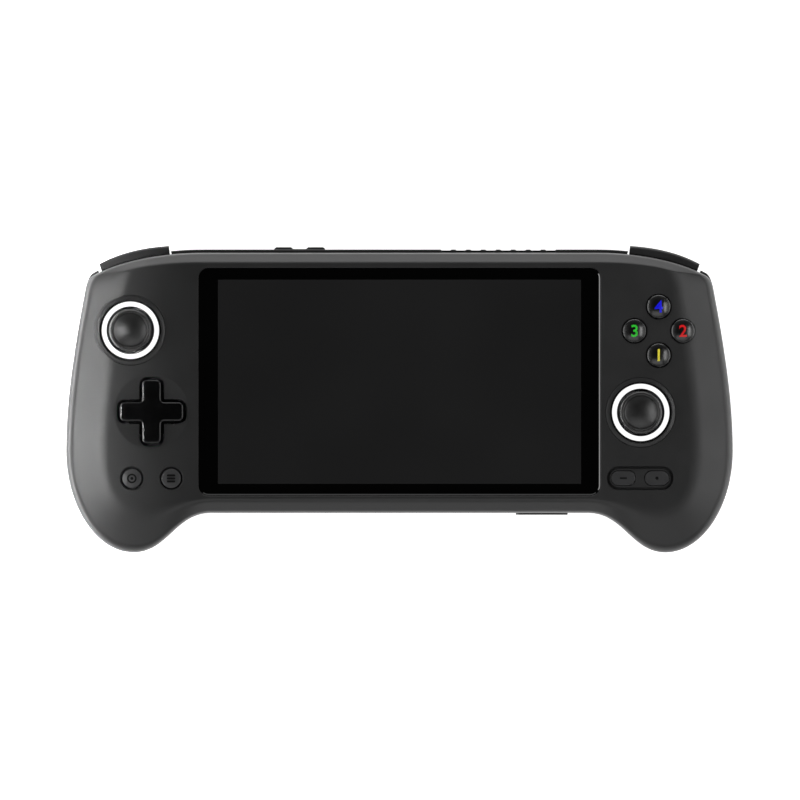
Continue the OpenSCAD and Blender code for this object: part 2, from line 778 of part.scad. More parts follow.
module card_reader() {
    y = [low_y + wall + 0.8, low_y + wall + 15.5];
    color(steel)
        difference() {
            along_y(port_x[2], card_z, y)
                square([14, 1.7], center = true);
            along_y(port_x[2], card_z, y - [1, 2])
                square([11.2, 0.9], center = true);
        }
}

// Thumb sticks, drawn round their pivot
module stick_housing() {
    color(steel)
        difference() {
            union() {
                block([-7.2, 7.2], [-7.2, 7.2], [-5, 2.5]);
                block([-10, 10], [-7.2, 7.2], [0.3, 1.3]);
                block([7, 9.4], [-5, 5], [-4.6, 0.5]);
                block([-5, 5], [-9.4, -7], [-4.6, 0.5]);
            }
            block([-6.3, 6.3], [-6.3, 6.3], [-4.2, 3]);
            rotate([0, 90, 0])
                cylinder(r = 0.8 + run, h = 15.6, center = true);
        }
}
module stick_gimbal() {
    color(key_black)
        difference() {
            union() {
                disc(5.6, [-1.3, 1.3]);
                rotate([0, 90, 0])
                    cylinder(r = 0.8, h = 14.2, center = true);
            }
            disc(4.3, [-2, 2]);
            rotate([90, 0, 0])
                cylinder(r = 0.7 + run, h = 14, center = true);
        }
}
module stick_collar() {
    color(steel)
        difference() {
            union() {
                disc(3.3, [-1.5, 1.5]);
                rotate([90, 0, 0])
                    cylinder(r = 0.7, h = 11, center = true);
            }
            disc(stem_r + run, [-2, 2]);
        }
}
module stick_stem() {
    color(steel)
        disc(stem_r, [-3.1, cap_top - 2.4]);
}
module stick_cap() {
    neck_r = 3.4;
    skirt_r = 8.2;
    edge_r = 0.9;
    dome = [for (i = [0 : 6]) [(cap_r - 1.8) * i / 6, cap_top - 0.75 * (i / 6) ^ 2]];
    edge = [for (a = [90, 60, 30, 0]) [cap_r, cap_top - 1.6] + edge_r * [cos(a) - 1, sin(a)]];
    skirt = [for (a = [25, 31, 37, 42]) skirt_r * [sin(a), cos(a)]];
    lining = [for (a = [42, 37, 31, 27]) (skirt_r - 0.8) * [sin(a), cos(a)]];
    color(key_black)
        rotate_extrude()
            polygon(concat(dome, [[cap_r - 1.6, cap_top - 0.95], [cap_r - 1.3, cap_top - 0.8]], edge,
                [[cap_r, cap_top - 1.75], [cap_r - 0.5, cap_top - 2.15], [neck_r, cap_top - 3],
                    [neck_r, skirt_r * cos(24.5)]],
                skirt, lining, [[stem_r + 0.02, 6.4], [stem_r + 0.02, cap_top - 2.4], [0, cap_top - 2.4]]));
}
module stick_spring() {
    color(steel)
        translate([0, 0, -3.9])
            coil(2.9, 0.5, 3, 2);
}
module light_ring() {
    top = pivot_drop - 1;
    flange = pivot_drop - wall;
    color("white")
        rotate_extrude()
            polygon([[ring_r - 2, flange - 1], [ring_r + 1.7, flange - 1], [ring_r + 1.7, flange],
                [ring_r, flange], [ring_r, top - 0.2], [ring_r - 0.2, top], [ring_r - 1.8, top],
                [ring_r - 2, top - 0.2]]);
}
module at_stick(p) {
    translate([p.x, p.y, stick_pivot_z])
        children();
}

// Direction pad and its ball pivot
module dpad() {
    color(key_black)
        difference() {
            translate([pad.x, pad.y, 0]) {
                cross(pad_l, pad_arm, pad_end_r, 1, [front_z - 3.9, pad_top_z]);
                disc(8.5, [front_z - 3.9, front_z - 3.15]);
            }
            translate([pad.x, pad.y, pad_pivot_z])
                sphere(2.25);
        }
}
module dpad_ball() {
    color(steel)
        translate([pad.x, pad.y, pad_pivot_z])
            sphere(2.2);
}
module dpad_membrane() {
    color(rubber)
        translate([pad.x, pad.y, 0])
            difference() {
                union() {
                    disc(11.5, [board_top_z, sheet_z]);
                    for (a = [0 : 90 : 270])
                        rotate(a)
                            translate([6.2, 0, sheet_z])
                                cylinder(r1 = 2.6, r2 = 1.6, h = front_z - 3.95 - sheet_z);
                }
                disc(3, [board_top_z - 1, sheet_z + 1]);
            }
}

// Buttons
module face_button(p) {
    r = button_d / 2;
    top = front_z + 1.5;
    dome = [for (i = [0 : 5]) [(r - 0.3) * i / 5, top - 0.45 * (i / 5) ^ 2]];
    color(key_black)
        translate([p.x, p.y, 0])
            rotate_extrude()
                polygon(concat(dome, [[r, top - 0.85], [r, ceiling_z - 0.1],
                    [r + 0.95, ceiling_z - 0.1], [r + 0.95, ceiling_z - 1.1], [2.2, ceiling_z - 1.1],
                    [2.2, button_foot_z], [0, button_foot_z]]));
}
module face_membrane() {
    color(rubber) {
        translate([face.x, face.y, 0])
            disc(button_spread + 3.6, [board_top_z, sheet_z]);
        on(face_keys)
            translate([0, 0, sheet_z])
                cylinder(r1 = 3.2, r2 = 2.2, h = button_foot_z - 0.05 - sheet_z);
    }
}
module pill_button(p) {
    color(key_black)
        translate([p.x, p.y, 0]) {
            pill(pill_l, pill_w, [ceiling_z - 1, front_z]);
            pill(pill_l + 1.2, pill_w + 1.2, [ceiling_z - 1, ceiling_z - 0.1]);
            disc(1.5, [plunger_z, ceiling_z]);
        }
}
module small_button(p) {
    color(key_black)
        translate([p.x, p.y, 0]) {
            disc(small_d / 2, [ceiling_z - 1, front_z + 0.2]);
            disc(small_d / 2 + 0.9, [ceiling_z - 1, ceiling_z - 0.1]);
            disc(1.5, [plunger_z, ceiling_z]);
        }
}
module key_switches() {
    color(steel)
        on([select_key, start_key, home_key, turbo_key])
            slab(3.4, 3.4, 0.3, [board_top_z, plunger_z - 0.45]);
}

// Shoulder bumpers and triggers of the right-hand side
module bumper() {
    color(case_grey)
        difference() {
            union() {
                translate([0, 0, bumper_z])
                    linear_extrude(bumper_t)
                        shoulder_band(bumper_out, bumper_deep, bumper_ends, bumper_bulge);
                block([bumper_pivot.x, chord_a.x + 2], span(bumper_pivot.y, 0.95, 3.15), ear_z);
                on([bumper_pivot])
                    disc(2.2, ear_z);
            }
            on([bumper_pivot])
                disc(pin_r + run, ear_z + [-1, 1]);
        }
}
module trigger() {
    tip = [2.4, 5];
    skin_edge = [for (i = [0 : 8]) bezier([[4, bumper_z - 0.5], [3.8, 11.5], [0.2, 9.5], tip], i / 8)];
    color(case_grey)
        difference() {
            intersection() {
                at_shoulder() {
                    along_shoulder([-trigger_half, trigger_half])
                        polygon(concat(skin_edge, [tip + [-2, -0.2], [-2, 7.5], [-3.2, 11],
                            [-6, 12.9], [-12, 13.2], [-12, 17], [-7, 17], [-6, bumper_z - 0.5]]));
                    shoulder_rod(2.6, [-trigger_half, trigger_half]);
                }
                linear_extrude(part_z)
                    shoulder_band(trigger_out, 30, [bumper_from - 0.06, bumper_to + 0.1]);
            }
            at_shoulder() {
                shoulder_rod(pin_r + run, [-20, 20]);
                shoulder_rod(3, notch_u);
            }
        }
}
module shoulder_bracket() {
    color(steel)
        difference() {
            union() {
                at_shoulder() {
                    block([-cheek[1], cheek[1]], plate_v, plate_z);
                    for (x = [-cheek[1], cheek[0]])
                        block([x, x + cheek[1] - cheek[0]], plate_v - [0, 1], [part_z - 8.5, plate_z[1]]);
                    block([-4, 4], [plate_v[0], -9], [plate_z[0], board_z]);
                }
                on([bumper_pivot])
                    for (z = [[ear_z[0] - 1.4, ear_z[0] - 0.2], [ear_z[1] + 0.2, ear_z[1] + 1.4]]) {
                        disc(2.3, z);
                        rotate(-42)
                            block([0, 3.4], [-1.2, 1.2], z);
                    }
            }
            on([bumper_pivot])
                disc(pin_r + 0.01, [0, front_z]);
            at_shoulder()
                shoulder_rod(pin_r + 0.01, [-cheek[1] - 0.5, cheek[1] + 0.5]);
        }
}
module pins_of_one_side() {
    on([bumper_pivot])
        disc(pin_r, ear_z + [-1.4, 1.4]);
    at_shoulder()
        shoulder_rod(pin_r, [-cheek[1], cheek[1]]);
}
module shoulder_pins() {
    color(steel) {
        pins_of_one_side();
        left_hand()
            pins_of_one_side();
    }
}
module trigger_spring() {
    color(steel)
        at_shoulder()
            translate([spring_u[0] + 0.7, trigger_pivot[0], trigger_pivot[1]])
                rotate([0, 90, 0])
                    coil(1.75, 0.5, 4, spring_u[1] - spring_u[0] - 1.4);
}
module bumper_switch() {
    at_shoulder()
        block([2.4, 8.2], span(plate_v[1], -1.1, 0), [part_z - 5.2, plate_z[0]]);
}
module bumper_switches() {
    color(key_black) {
        bumper_switch();
        left_hand()
            bumper_switch();
    }
}

// Keys on the top edge
module volume_rocker() {
    out = rear_top_y + 0.8;
    l = rocker_l / 2;
    back = rocker_y + 0.4;
    color(key_black)
        translate([rocker_x, 0, key_z - 1.5])
            linear_extrude(3)
                polygon([[-l - 0.8, back - 1], [l + 0.8, back - 1], [l + 0.8, back], [l, back],
                    [l, out - 0.5], [l - 0.6, out], [2.8, out], [2.2, out - 0.6], [-2.2, out - 0.6],
                    [-2.8, out], [-l + 0.6, out], [-l, out - 0.5], [-l, back], [-l - 0.8, back]]);
}
module power_button() {
    color(key_black) {
        along_y(power_x, key_z, [rear_top_y - wall - 1, rear_top_y - 0.1])
            pill_shape(7, 2.6);
        along_y(power_x, key_z, [rear_top_y - wall - 1, rear_top_y - wall - 0.1])
            pill_shape(8.4, 3.8);
    }
}
module top_key_board() {
    y = rocker_y - 2.9;
    color(board_green) {
        block([rocker_x - 12, power_x + 5], [y - 1, y], [floor_z, floor_z + 5.6]);
        for (x = [rocker_x - 6, rocker_x + 6])
            block([x - 1.7, x + 1.7], [y, rocker_y - 1.1], span(key_z, -1.2, 1.2));
        block(span(power_x, -1.7, 1.7), [y, rear_top_y - wall - 1.4], span(key_z, -1.2, 1.2));
    }
}

front_case();
rear_case();
screen_lens();
display_panel();
mid_frame();
case_screws();
board_screws();
left_board();
right_board();
main_board();
main_chips();
battery();
heat_sink();
fan_housing();
fan_rotor();
left_speaker();
right_speaker();
usb_c_port();
audio_jack();
card_reader();
at_stick(left_stick) stick_housing();  // left_stick_housing
at_stick(left_stick) stick_gimbal();  // left_stick_gimbal
at_stick(left_stick) stick_collar();  // left_stick_collar
at_stick(left_stick) stick_stem();  // left_stick_stem
at_stick(left_stick) stick_cap();  // left_stick_cap
at_stick(left_stick) stick_spring();  // left_stick_spring
at_stick(left_stick) light_ring();  // left_light_ring
at_stick(right_stick) stick_housing();  // right_stick_housing
at_stick(right_stick) stick_gimbal();  // right_stick_gimbal
at_stick(right_stick) stick_collar();  // right_stick_collar
at_stick(right_stick) stick_stem();  // right_stick_stem
at_stick(right_stick) stick_cap();  // right_stick_cap
at_stick(right_stick) stick_spring();  // right_stick_spring
at_stick(right_stick) light_ring();  // right_light_ring
dpad();
dpad_ball();
dpad_membrane();
face_button(face_keys[0]);  // button_north
face_button(face_keys[1]);  // button_south
face_button(face_keys[2]);  // button_east
face_button(face_keys[3]);  // button_west
face_membrane();
pill_button(select_key);  // select_button
pill_button(start_key);  // start_button
small_button(home_key);  // home_button
small_button(turbo_key);  // turbo_button
key_switches();
left_hand() bumper();  // left_bumper
bumper();  // right_bumper
left_hand() trigger();  // left_trigger
trigger();  // right_trigger
left_hand() shoulder_bracket();  // left_shoulder_bracket
shoulder_bracket();  // right_shoulder_bracket
shoulder_pins();
left_hand() trigger_spring();  // left_trigger_spring
trigger_spring();  // right_trigger_spring
bumper_switches();
volume_rocker();
power_button();
top_key_board();
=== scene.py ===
import json
import math

import bmesh
import bpy
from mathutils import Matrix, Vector


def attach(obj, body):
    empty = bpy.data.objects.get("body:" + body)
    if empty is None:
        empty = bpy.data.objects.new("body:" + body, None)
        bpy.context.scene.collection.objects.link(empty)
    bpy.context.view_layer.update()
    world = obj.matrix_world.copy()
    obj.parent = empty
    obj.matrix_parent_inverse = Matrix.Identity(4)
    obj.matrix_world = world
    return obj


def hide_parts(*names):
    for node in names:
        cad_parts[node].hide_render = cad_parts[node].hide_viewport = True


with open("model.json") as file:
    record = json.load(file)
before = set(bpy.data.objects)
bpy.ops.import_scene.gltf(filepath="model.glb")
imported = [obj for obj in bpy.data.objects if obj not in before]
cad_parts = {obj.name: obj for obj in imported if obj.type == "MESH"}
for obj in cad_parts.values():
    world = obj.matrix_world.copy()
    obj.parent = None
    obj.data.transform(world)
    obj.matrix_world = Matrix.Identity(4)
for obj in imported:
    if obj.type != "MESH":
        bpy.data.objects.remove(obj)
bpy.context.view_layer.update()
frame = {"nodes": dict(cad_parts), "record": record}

# Sizes are in millimetres, as in the part's source, and become metres when a mesh is made
MM = 0.001

# Levels
FRONT_Z = 31.0
PART_Z = 23.0
BACK_Z = 15.0
WALL = 2.0
CEILING_Z = FRONT_Z - WALL
FLOOR_Z = BACK_Z + WALL
LENS_Z = FRONT_Z - 0.9
LIP_H = 1.0
LIP_T = 1.0
LAND_Z = PART_Z + LIP_H + 0.2
SEAM = 0.15

# Edges and middles
HALF_W = 111.5
TOP_Y = 49.75
REAR_TOP_Y = TOP_Y + 0.35
FRONT_TOP_Y = REAR_TOP_Y - 1.1
GRIP_Y = -51.25
LOW_Y = -38.05
MID_Y = (TOP_Y + LOW_Y) / 2

# Places of the controls
LEFT_STICK = (-89.9, 23.05)
RIGHT_STICK = (80.6, -4.4)
PAD = (-82.8, -4.15)
FACE = (86.6, 22.85)
SPREAD = 8.1
HOME = (-89.4, -26.45)
TURBO = (-76.3, -26.45)
PILL_MID = (80.4, -26.35)
PILL_STEP = 5.6
STICK_PIVOT_Z = 22.0
CAP_TOP = 15.3
RING_R = 9.8
RING_Z = 30.0
WELL_R = 12.1


# Plane curves and loops
def bezier(k, t):
    u = 1 - t
    w = (u ** 3, 3 * u * u * t, 3 * u * t * t, t ** 3)
    return tuple(sum(w[i] * k[i][a] for i in range(4)) for a in (0, 1))


def plus(p, d):
    return (p[0] + d[0], p[1] + d[1])


def straight(a, b):
    third = ((b[0] - a[0]) / 3, (b[1] - a[1]) / 3)
    return (a, plus(a, third), plus(b, (-third[0], -third[1])), b)


SPAN_COUNTS = (14, 26, 12, 26, 30, 28, 12)


def half_curve(spans):
    points = [bezier(k, j / n) for k, n in zip(spans, SPAN_COUNTS) for j in range(n)]
    return points + [spans[-1][3]]


def both_sides(half):
    """A closed loop, anticlockwise from the top middle, from the points of the right half."""
    return [(-x, y) for x, y in half[:-1]] + half[:0:-1]


def inset(loop, d):
    n = len(loop)
    out = []
    for i, p in enumerate(loop):
        a, b = loop[i - 1], loop[(i + 1) % n]
        t = (b[0] - a[0], b[1] - a[1])
        size = math.hypot(*t)
        out.append((p[0] - d * t[1] / size, p[1] + d * t[0] / size))
    return out


def mix(a, b, s):
    return [(p[0] * (1 - s) + q[0] * s, p[1] * (1 - s) + q[1] * s) for p, q in zip(a, b)]


def level(loop, z):
    return [(x, y, z) for x, y in loop]


# Outline of the right half as spans of four control points, clockwise from the top middle
CORNER = (HALF_W - 9, TOP_Y - 8)
FOOT = plus(CORNER, (2.5, -4.8))
SHOULDER_X = HALF_W - 45.5
WIDEST_Y = MID_Y - 23
GRIP_X = HALF_W - 22.5
CROTCH_X = HALF_W - 48.5


def shoulder_span(top, peak):
    return ((SHOULDER_X, top), (SHOULDER_X + 16, top), plus(peak, (-7.5, 4.2)), peak)


def outline(top, lift):
    peak = plus(CORNER, (0, lift))
    return both_sides(half_curve((
        straight((0, top), (SHOULDER_X, top)),
        shoulder_span(top, peak),
        (peak, plus(peak, (1.5, -0.85)), plus(FOOT, (-0.3, 1.7)), FOOT),
        (FOOT, plus(FOOT, (2.8, -15)), (HALF_W, WIDEST_Y + 19), (HALF_W, WIDEST_Y)),
        ((HALF_W, WIDEST_Y), (HALF_W, WIDEST_Y - 19), (GRIP_X + 12, GRIP_Y), (GRIP_X, GRIP_Y)),
        ((GRIP_X, GRIP_Y), (GRIP_X - 11.5, GRIP_Y), (CROTCH_X + 12, LOW_Y), (CROTCH_X, LOW_Y)),
        straight((CROTCH_X, LOW_Y), (0, LOW_Y)))))


# Edge of the flat front face, span by span beside the outline
FLAT_TOP = FRONT_TOP_Y - 4
FLAT_LOW = LOW_Y + 5.1
FLAT_X = HALF_W - 14.5
FLAT_CORNER = plus(CORNER, (-13.6, 1.35))
FLAT_FOOT = (FLAT_X - 6.4, CORNER[1] - 4.75)
FLAT_GRIP = (GRIP_X - 3, GRIP_Y + 15.2)
flat_loop = both_sides(half_curve((
    straight((0, FLAT_TOP), (SHOULDER_X, FLAT_TOP)),
    ((SHOULDER_X, FLAT_TOP), (SHOULDER_X + 16, FLAT_TOP), plus(FLAT_CORNER, (-0.9, 0.3)), FLAT_CORNER),
    (FLAT_CORNER, plus(FLAT_CORNER, (0.2, -1.8)), plus(FLAT_FOOT, (-0.25, 1.9)), FLAT_FOOT),
    (FLAT_FOOT, plus(FLAT_FOOT, (1.9, -14)), (FLAT_X, WIDEST_Y + 22), (FLAT_X, WIDEST_Y)),
    ((FLAT_X, WIDEST_Y), (FLAT_X, WIDEST_Y - 12), plus(FLAT_GRIP, (8, 0)), FLAT_GRIP),
    (FLAT_GRIP, plus(FLAT_GRIP, (-7, 0)), (CROTCH_X + 9, FLAT_LOW), (CROTCH_X - 1, FLAT_LOW)),
    straight((CROTCH_X - 1, FLAT_LOW), (0, FLAT_LOW)))))

# Oval in the middle of the back, where the rings of the rear half close
OVAL = (58, 9)
SPAN_TURNS = (0, 35, 60, 64, 92, 120, 146, 180)
oval_turns = [SPAN_TURNS[i] + (SPAN_TURNS[i + 1] - SPAN_TURNS[i]) * j / n
              for i, n in enumerate(SPAN_COUNTS) for j in range(n)] + [180]
oval_loop = both_sides([(OVAL[0] * math.sin(math.radians(a)), MID_Y + OVAL[1] * math.cos(math.radians(a)))
                        for a in oval_turns])

FRONT_LIFT = -0.4
front_loop = outline(FRONT_TOP_Y, FRONT_LIFT)
rear_loop = outline(REAR_TOP_Y, 0.5)
front_inner = inset(front_loop, WALL)
rear_inner = inset(rear_loop, WALL)


# Meshes from lists of points, in millimetres
def loft(rings, caps=True, closed=False):
    n, m = len(rings[0]), len(rings)
    verts = [p for r in rings for p in r]
    faces = [(j * n + i, j * n + (i + 1) % n, (j + 1) % m * n + (i + 1) % n, (j + 1) % m * n + i)
             for j in range(m if closed else m - 1) for i in range(n)]
    if caps and not closed:
        faces += [tuple(range(n))[::-1], tuple((m - 1) * n + i for i in range(n))]
    return verts, faces


def lathe(profile, at, n=96, closed=False):
    turns = [2 * math.pi * i / n for i in range(n)]
    return loft([[(at[0] + r * math.cos(a), at[1] + r * math.sin(a), z) for a in turns]
                 for r, z in profile], caps=False, closed=closed)


def together(*meshes):
    verts, faces = [], []
    for v, f in meshes:
        faces += [tuple(i + len(verts) for i in face) for face in f]
        verts += v
    return verts, faces


def mirrored(mesh):
    return [(-x, y, z) for x, y, z in mesh[0]], [f[::-1] for f in mesh[1]]


def arc(at, r, start, stop, n):
    return [(at[0] + r * math.cos(math.radians(start + (stop - start) * i / n)),
             at[1] + r * math.sin(math.radians(start + (stop - start) * i / n))) for i in range(n + 1)]


def rounded(w, h, r, n=12):
    x, y = w / 2 - r, h / 2 - r
    return (arc((x, y), r, 0, 90, n) + arc((-x, y), r, 90, 180, n)
            + arc((-x, -y), r, 180, 270, n) + arc((x, -y), r, 270, 360, n))


def pill_loop(l, w, n=24):
    x = (l - w) / 2
    return arc((x, 0), w / 2, -90, 90, n) + arc((-x, 0), w / 2, 90, 270, n)


def cross_loop(l, arm, out_r, in_r, n=8):
    """A cross with rounded ends and rounded inner corners."""
    a, b = arm / 2, l / 2
    quarter = (arc((b - out_r, a - out_r), out_r, 0, 90, n) + arc((a + in_r, a + in_r), in_r, 270, 180, n)
               + arc((a - out_r, b - out_r), out_r, 0, 90, n))
    points = []
    for k in range(4):
        c, s = round(math.cos(k * math.pi / 2)), round(math.sin(k * math.pi / 2))
        points += [(c * x - s * y, s * x + c * y) for x, y in quarter]
    return points


def moved(loop, at):
    return [(x + at[0], y + at[1]) for x, y in loop]


def stack(at, *layers):
    """A solid from loops of equal numbers of points, each with its level."""
    return loft([level(moved(loop, at), z) for loop, z in layers])


def along_y(loop, x, z, y):
    return loft([[(x + u, y0, z + v) for u, v in loop] for y0 in y])


def box(x, y, z):
    return loft([level([(x[0], y[0]), (x[1], y[0]), (x[1], y[1]), (x[0], y[1])], z0) for z0 in z])


def new_object(name, mesh):
    data = bpy.data.meshes.new(name)
    data.from_pydata([(x * MM, y * MM, z * MM) for x, y, z in mesh[0]], [], mesh[1])
    bm = bmesh.new()
    bm.from_mesh(data)
    bmesh.ops.remove_doubles(bm, verts=bm.verts, dist=1e-7)
    bmesh.ops.dissolve_degenerate(bm, edges=bm.edges, dist=1e-8)
    bmesh.ops.recalc_face_normals(bm, faces=bm.faces)
    bm.to_mesh(data)
    bm.free()
    obj = bpy.data.objects.new(name, data)
    bpy.context.scene.collection.objects.link(obj)
    return obj


def baked(obj):
    """Turn an object's modifiers into its mesh."""
    graph = bpy.context.evaluated_depsgraph_get()
    data = bpy.data.meshes.new_from_object(obj.evaluated_get(graph))
    obj.modifiers.clear()
    old = obj.data
    obj.data = data
    bpy.data.meshes.remove(old)


def combine(obj, operation, *meshes):
    """Cut solids out of an object, or join them to it."""
    tool = new_object("tool", together(*meshes))
    step = obj.modifiers.new("combine", "BOOLEAN")
    step.operation = operation
    step.solver = "EXACT"
    step.object = tool
    baked(obj)
    bpy.data.meshes.remove(tool.data)


def soften(obj, width, segments=3, angle=40):
    step = obj.modifiers.new("edges", "BEVEL")
    step.width = width * MM
    step.segments = segments
    step.limit_method = "ANGLE"
    step.angle_limit = math.radians(angle)
    step.harden_normals = False
    baked(obj)


def shade(obj, angle):
    data = obj.data
    data.polygons.foreach_set("use_smooth", [True] * len(data.polygons))
    data.set_sharp_from_angle(angle=math.radians(angle))
    step = obj.modifiers.new("normals", "WEIGHTED_NORMAL")
    step.keep_sharp = True
    step.weight = 60


def piece(obj, material, body, slot, *stands_for, angle=32):
    obj.data.materials.clear()
    obj.data.materials.append(material)
    shade(obj, angle)
    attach(obj, body)
    if stands_for:
        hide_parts(*stands_for)
    return obj


# Materials
def shader(name):
    made = bpy.data.materials.new(name)
    made.use_nodes = True
    return made, made.node_tree, made.node_tree.nodes["Principled BSDF"]


def add(tree, kind, inputs=(), **settings):
    made = tree.nodes.new(kind)
    for key, value in settings.items():
        setattr(made, key, value)
    for key, value in dict(inputs).items():
        if isinstance(value, bpy.types.NodeSocket):
            tree.links.new(value, made.inputs[key])
        else:
            made.inputs[key].default_value = value
    return made


def place(tree, stretch=(1, 1, 1)):
    """Coordinates in the part's own frame, stretched for a directional grain."""
    at = add(tree, "ShaderNodeTexCoord").outputs["Object"]
    return add(tree, "ShaderNodeMapping", {"Vector": at, "Scale": stretch}).outputs["Vector"]


def ramp(tree, value, low, high, start=0.3, stop=0.7):
    made = add(tree, "ShaderNodeValToRGB", {"Fac": value})
    for stop_mark, colour, where in zip(made.color_ramp.elements, (low, high), (start, stop)):
        stop_mark.color = (*colour, 1)
        stop_mark.position = where
    return made.outputs["Color"]


def between(tree, value, low, high):
    return add(tree, "ShaderNodeMapRange", {"Value": value, "From Min": 0.25, "From Max": 0.75,
                                            "To Min": low, "To Max": high}).outputs["Result"]


def noise(tree, at, size, detail=3.0, rough=0.55):
    """Noise whose features are about size millimetres across."""
    made = add(tree, "ShaderNodeTexNoise", {"Vector": at, "Scale": 1 / (size * MM), "Detail": detail,
                                            "Roughness": rough})
    return made.outputs["Fac"]


def bump(tree, bsdf, height, depth, strength=0.6):
    made = add(tree, "ShaderNodeBump", {"Height": height, "Distance": depth * MM, "Strength": strength})
    tree.links.new(made.outputs["Normal"], bsdf.inputs["Normal"])


def surface(name, colour, rough, spread=0.05, tint=0.1, grain=0.3, depth=0.02, patch=9.0,
            stretch=(1, 1, 1), metal=0.0, specular=0.5):
    """A finish with fine grain in relief, and slow changes of tone and roughness."""
    made, tree, bsdf = shader(name)
    at = place(tree, stretch)
    slow = noise(tree, at, patch, 2.0)
    fine = noise(tree, at, grain)
    tone = add(tree, "ShaderNodeMix", {"Factor": 0.35, "A": slow, "B": fine},
               data_type="FLOAT").outputs["Result"]
    dark, light = ([c * (1 + s * tint) for c in colour] for s in (-1, 1))
    tree.links.new(ramp(tree, tone, dark, light), bsdf.inputs["Base Color"])
    tree.links.new(between(tree, slow, rough - spread, rough + spread), bsdf.inputs["Roughness"])
    bsdf.inputs["Metallic"].default_value = metal
    bsdf.inputs["Specular IOR Level"].default_value = specular
    bump(tree, bsdf, fine, depth)
    return made


LIT_HALF = {"X": 60.65, "Y": 34.1}
BORDER_BLACK = (0.0006, 0.0006, 0.0006, 1)
BORDER_BLUR = 0.05


def display_glass():
    """Black-bordered lens over a dark display, as one laminated sheet."""
    made, tree, bsdf = shader("lens_glass")
    at = add(tree, "ShaderNodeTexCoord").outputs["Object"]
    axes = add(tree, "ShaderNodeSeparateXYZ", {"Vector": at})
    inside = []
    for axis, middle in (("X", 0.0), ("Y", MID_Y)):
        off = add(tree, "ShaderNodeMath", {0: axes.outputs[axis], 1: middle * MM}, operation="SUBTRACT")
        far = add(tree, "ShaderNodeMath", {0: off.outputs[0]}, operation="ABSOLUTE")
        inside.append(add(tree, "ShaderNodeMapRange", {
            "Value": far.outputs[0], "From Min": (LIT_HALF[axis] - BORDER_BLUR) * MM,
            "From Max": (LIT_HALF[axis] + BORDER_BLUR) * MM, "To Min": 1.0, "To Max": 0.0}).outputs["Result"])
    active = add(tree, "ShaderNodeMath", {0: inside[0], 1: inside[1]}, operation="MULTIPLY").outputs[0]
    haze = noise(tree, at, 45.0, 1.0)
    panel = ramp(tree, haze, (0.0143, 0.0143, 0.0145), (0.0172, 0.0172, 0.0174))
    tone = add(tree, "ShaderNodeMix", {"Factor": active, "A": BORDER_BLACK, "B": panel}, data_type="RGBA")
    tree.links.new(tone.outputs["Result"], bsdf.inputs["Base Color"])
    smudge = noise(tree, at, 18.0, 4.0, 0.65)
    tree.links.new(between(tree, smudge, 0.03, 0.08), bsdf.inputs["Roughness"])
    bsdf.inputs["Specular IOR Level"].default_value = 0.5
    return made


def lit_ring():
    """Frosted light guide that glows evenly out of its top face and is black below it."""
    made, tree, bsdf = shader("light_ring")
    at = add(tree, "ShaderNodeTexCoord").outputs["Object"]
    height = add(tree, "ShaderNodeSeparateXYZ", {"Vector": at}).outputs["Z"]
    top = add(tree, "ShaderNodeMapRange", {"Value": height, "From Min": (RING_Z - 0.12) * MM,
                                           "From Max": (RING_Z - 0.04) * MM}).outputs["Result"]
    tree.links.new(ramp(tree, top, (0.004, 0.004, 0.004), (0.1, 0.1, 0.1)), bsdf.inputs["Base Color"])
    tree.links.new(ramp(tree, top, (0, 0, 0), (1, 1, 1)), bsdf.inputs["Emission Color"])
    bsdf.inputs["Emission Strength"].default_value = 1.0
    tree.links.new(between(tree, noise(tree, at, 4.0), 0.34, 0.46), bsdf.inputs["Roughness"])
    bump(tree, bsdf, noise(tree, at, 0.25), 0.01)
    return made


def circuit():
    """Solder mask over fine tracks."""
    made, tree, bsdf = shader("circuit_board")
    at = place(tree)
    tracks = add(tree, "ShaderNodeTexBrick", {
        "Vector": at, "Scale": 160.0, "Mortar Size": 0.06, "Color1": (0.02, 0.12, 0.06, 1),
        "Color2": (0.025, 0.14, 0.07, 1), "Mortar": (0.05, 0.2, 0.11, 1)})
    tree.links.new(tracks.outputs["Color"], bsdf.inputs["Base Color"])
    tree.links.new(between(tree, noise(tree, at, 3.0), 0.3, 0.42), bsdf.inputs["Roughness"])
    bump(tree, bsdf, tracks.outputs["Fac"], 0.03)
    return made


CHARCOAL = (0.0168, 0.0168, 0.017)
case_plastic = surface("case_plastic", CHARCOAL, 0.4, spread=0.025, tint=0.06, grain=0.22, depth=0.008)
gloss_black = surface("gloss_black", (0.0015, 0.0015, 0.0017), 0.17, spread=0.03, tint=0.15, grain=0.6,
                      depth=0.002, patch=4)
satin_black = surface("satin_black", (0.003, 0.003, 0.0032), 0.25, spread=0.03, tint=0.15, grain=0.5,
                      depth=0.002, patch=3, specular=0.8)
stick_rubber = surface("stick_rubber", (0.005, 0.005, 0.005), 0.36, spread=0.03, grain=0.18,
                       depth=0.004, patch=3, specular=0.8)
key_plastic = surface("key_plastic", (0.03, 0.03, 0.031), 0.4, spread=0.04, grain=0.2, depth=0.006,
                      patch=3)
mark_black = surface("mark_black", (0.002, 0.002, 0.002), 0.7, grain=0.1, depth=0.004, patch=1.5,
                     specular=0.1)
inner_black = surface("inner_black", (0.012, 0.012, 0.012), 0.5, grain=0.3, depth=0.01)
key_rubber = surface("key_rubber", (0.09, 0.09, 0.1), 0.62, grain=0.25, depth=0.01)
battery_wrap = surface("battery_wrap", (0.03, 0.032, 0.036), 0.28, spread=0.08, grain=1.2, depth=0.02)
steel = surface("steel", (0.52, 0.52, 0.54), 0.3, spread=0.08, tint=0.12, grain=0.4, depth=0.004,
                stretch=(0.05, 1, 1), metal=1.0)
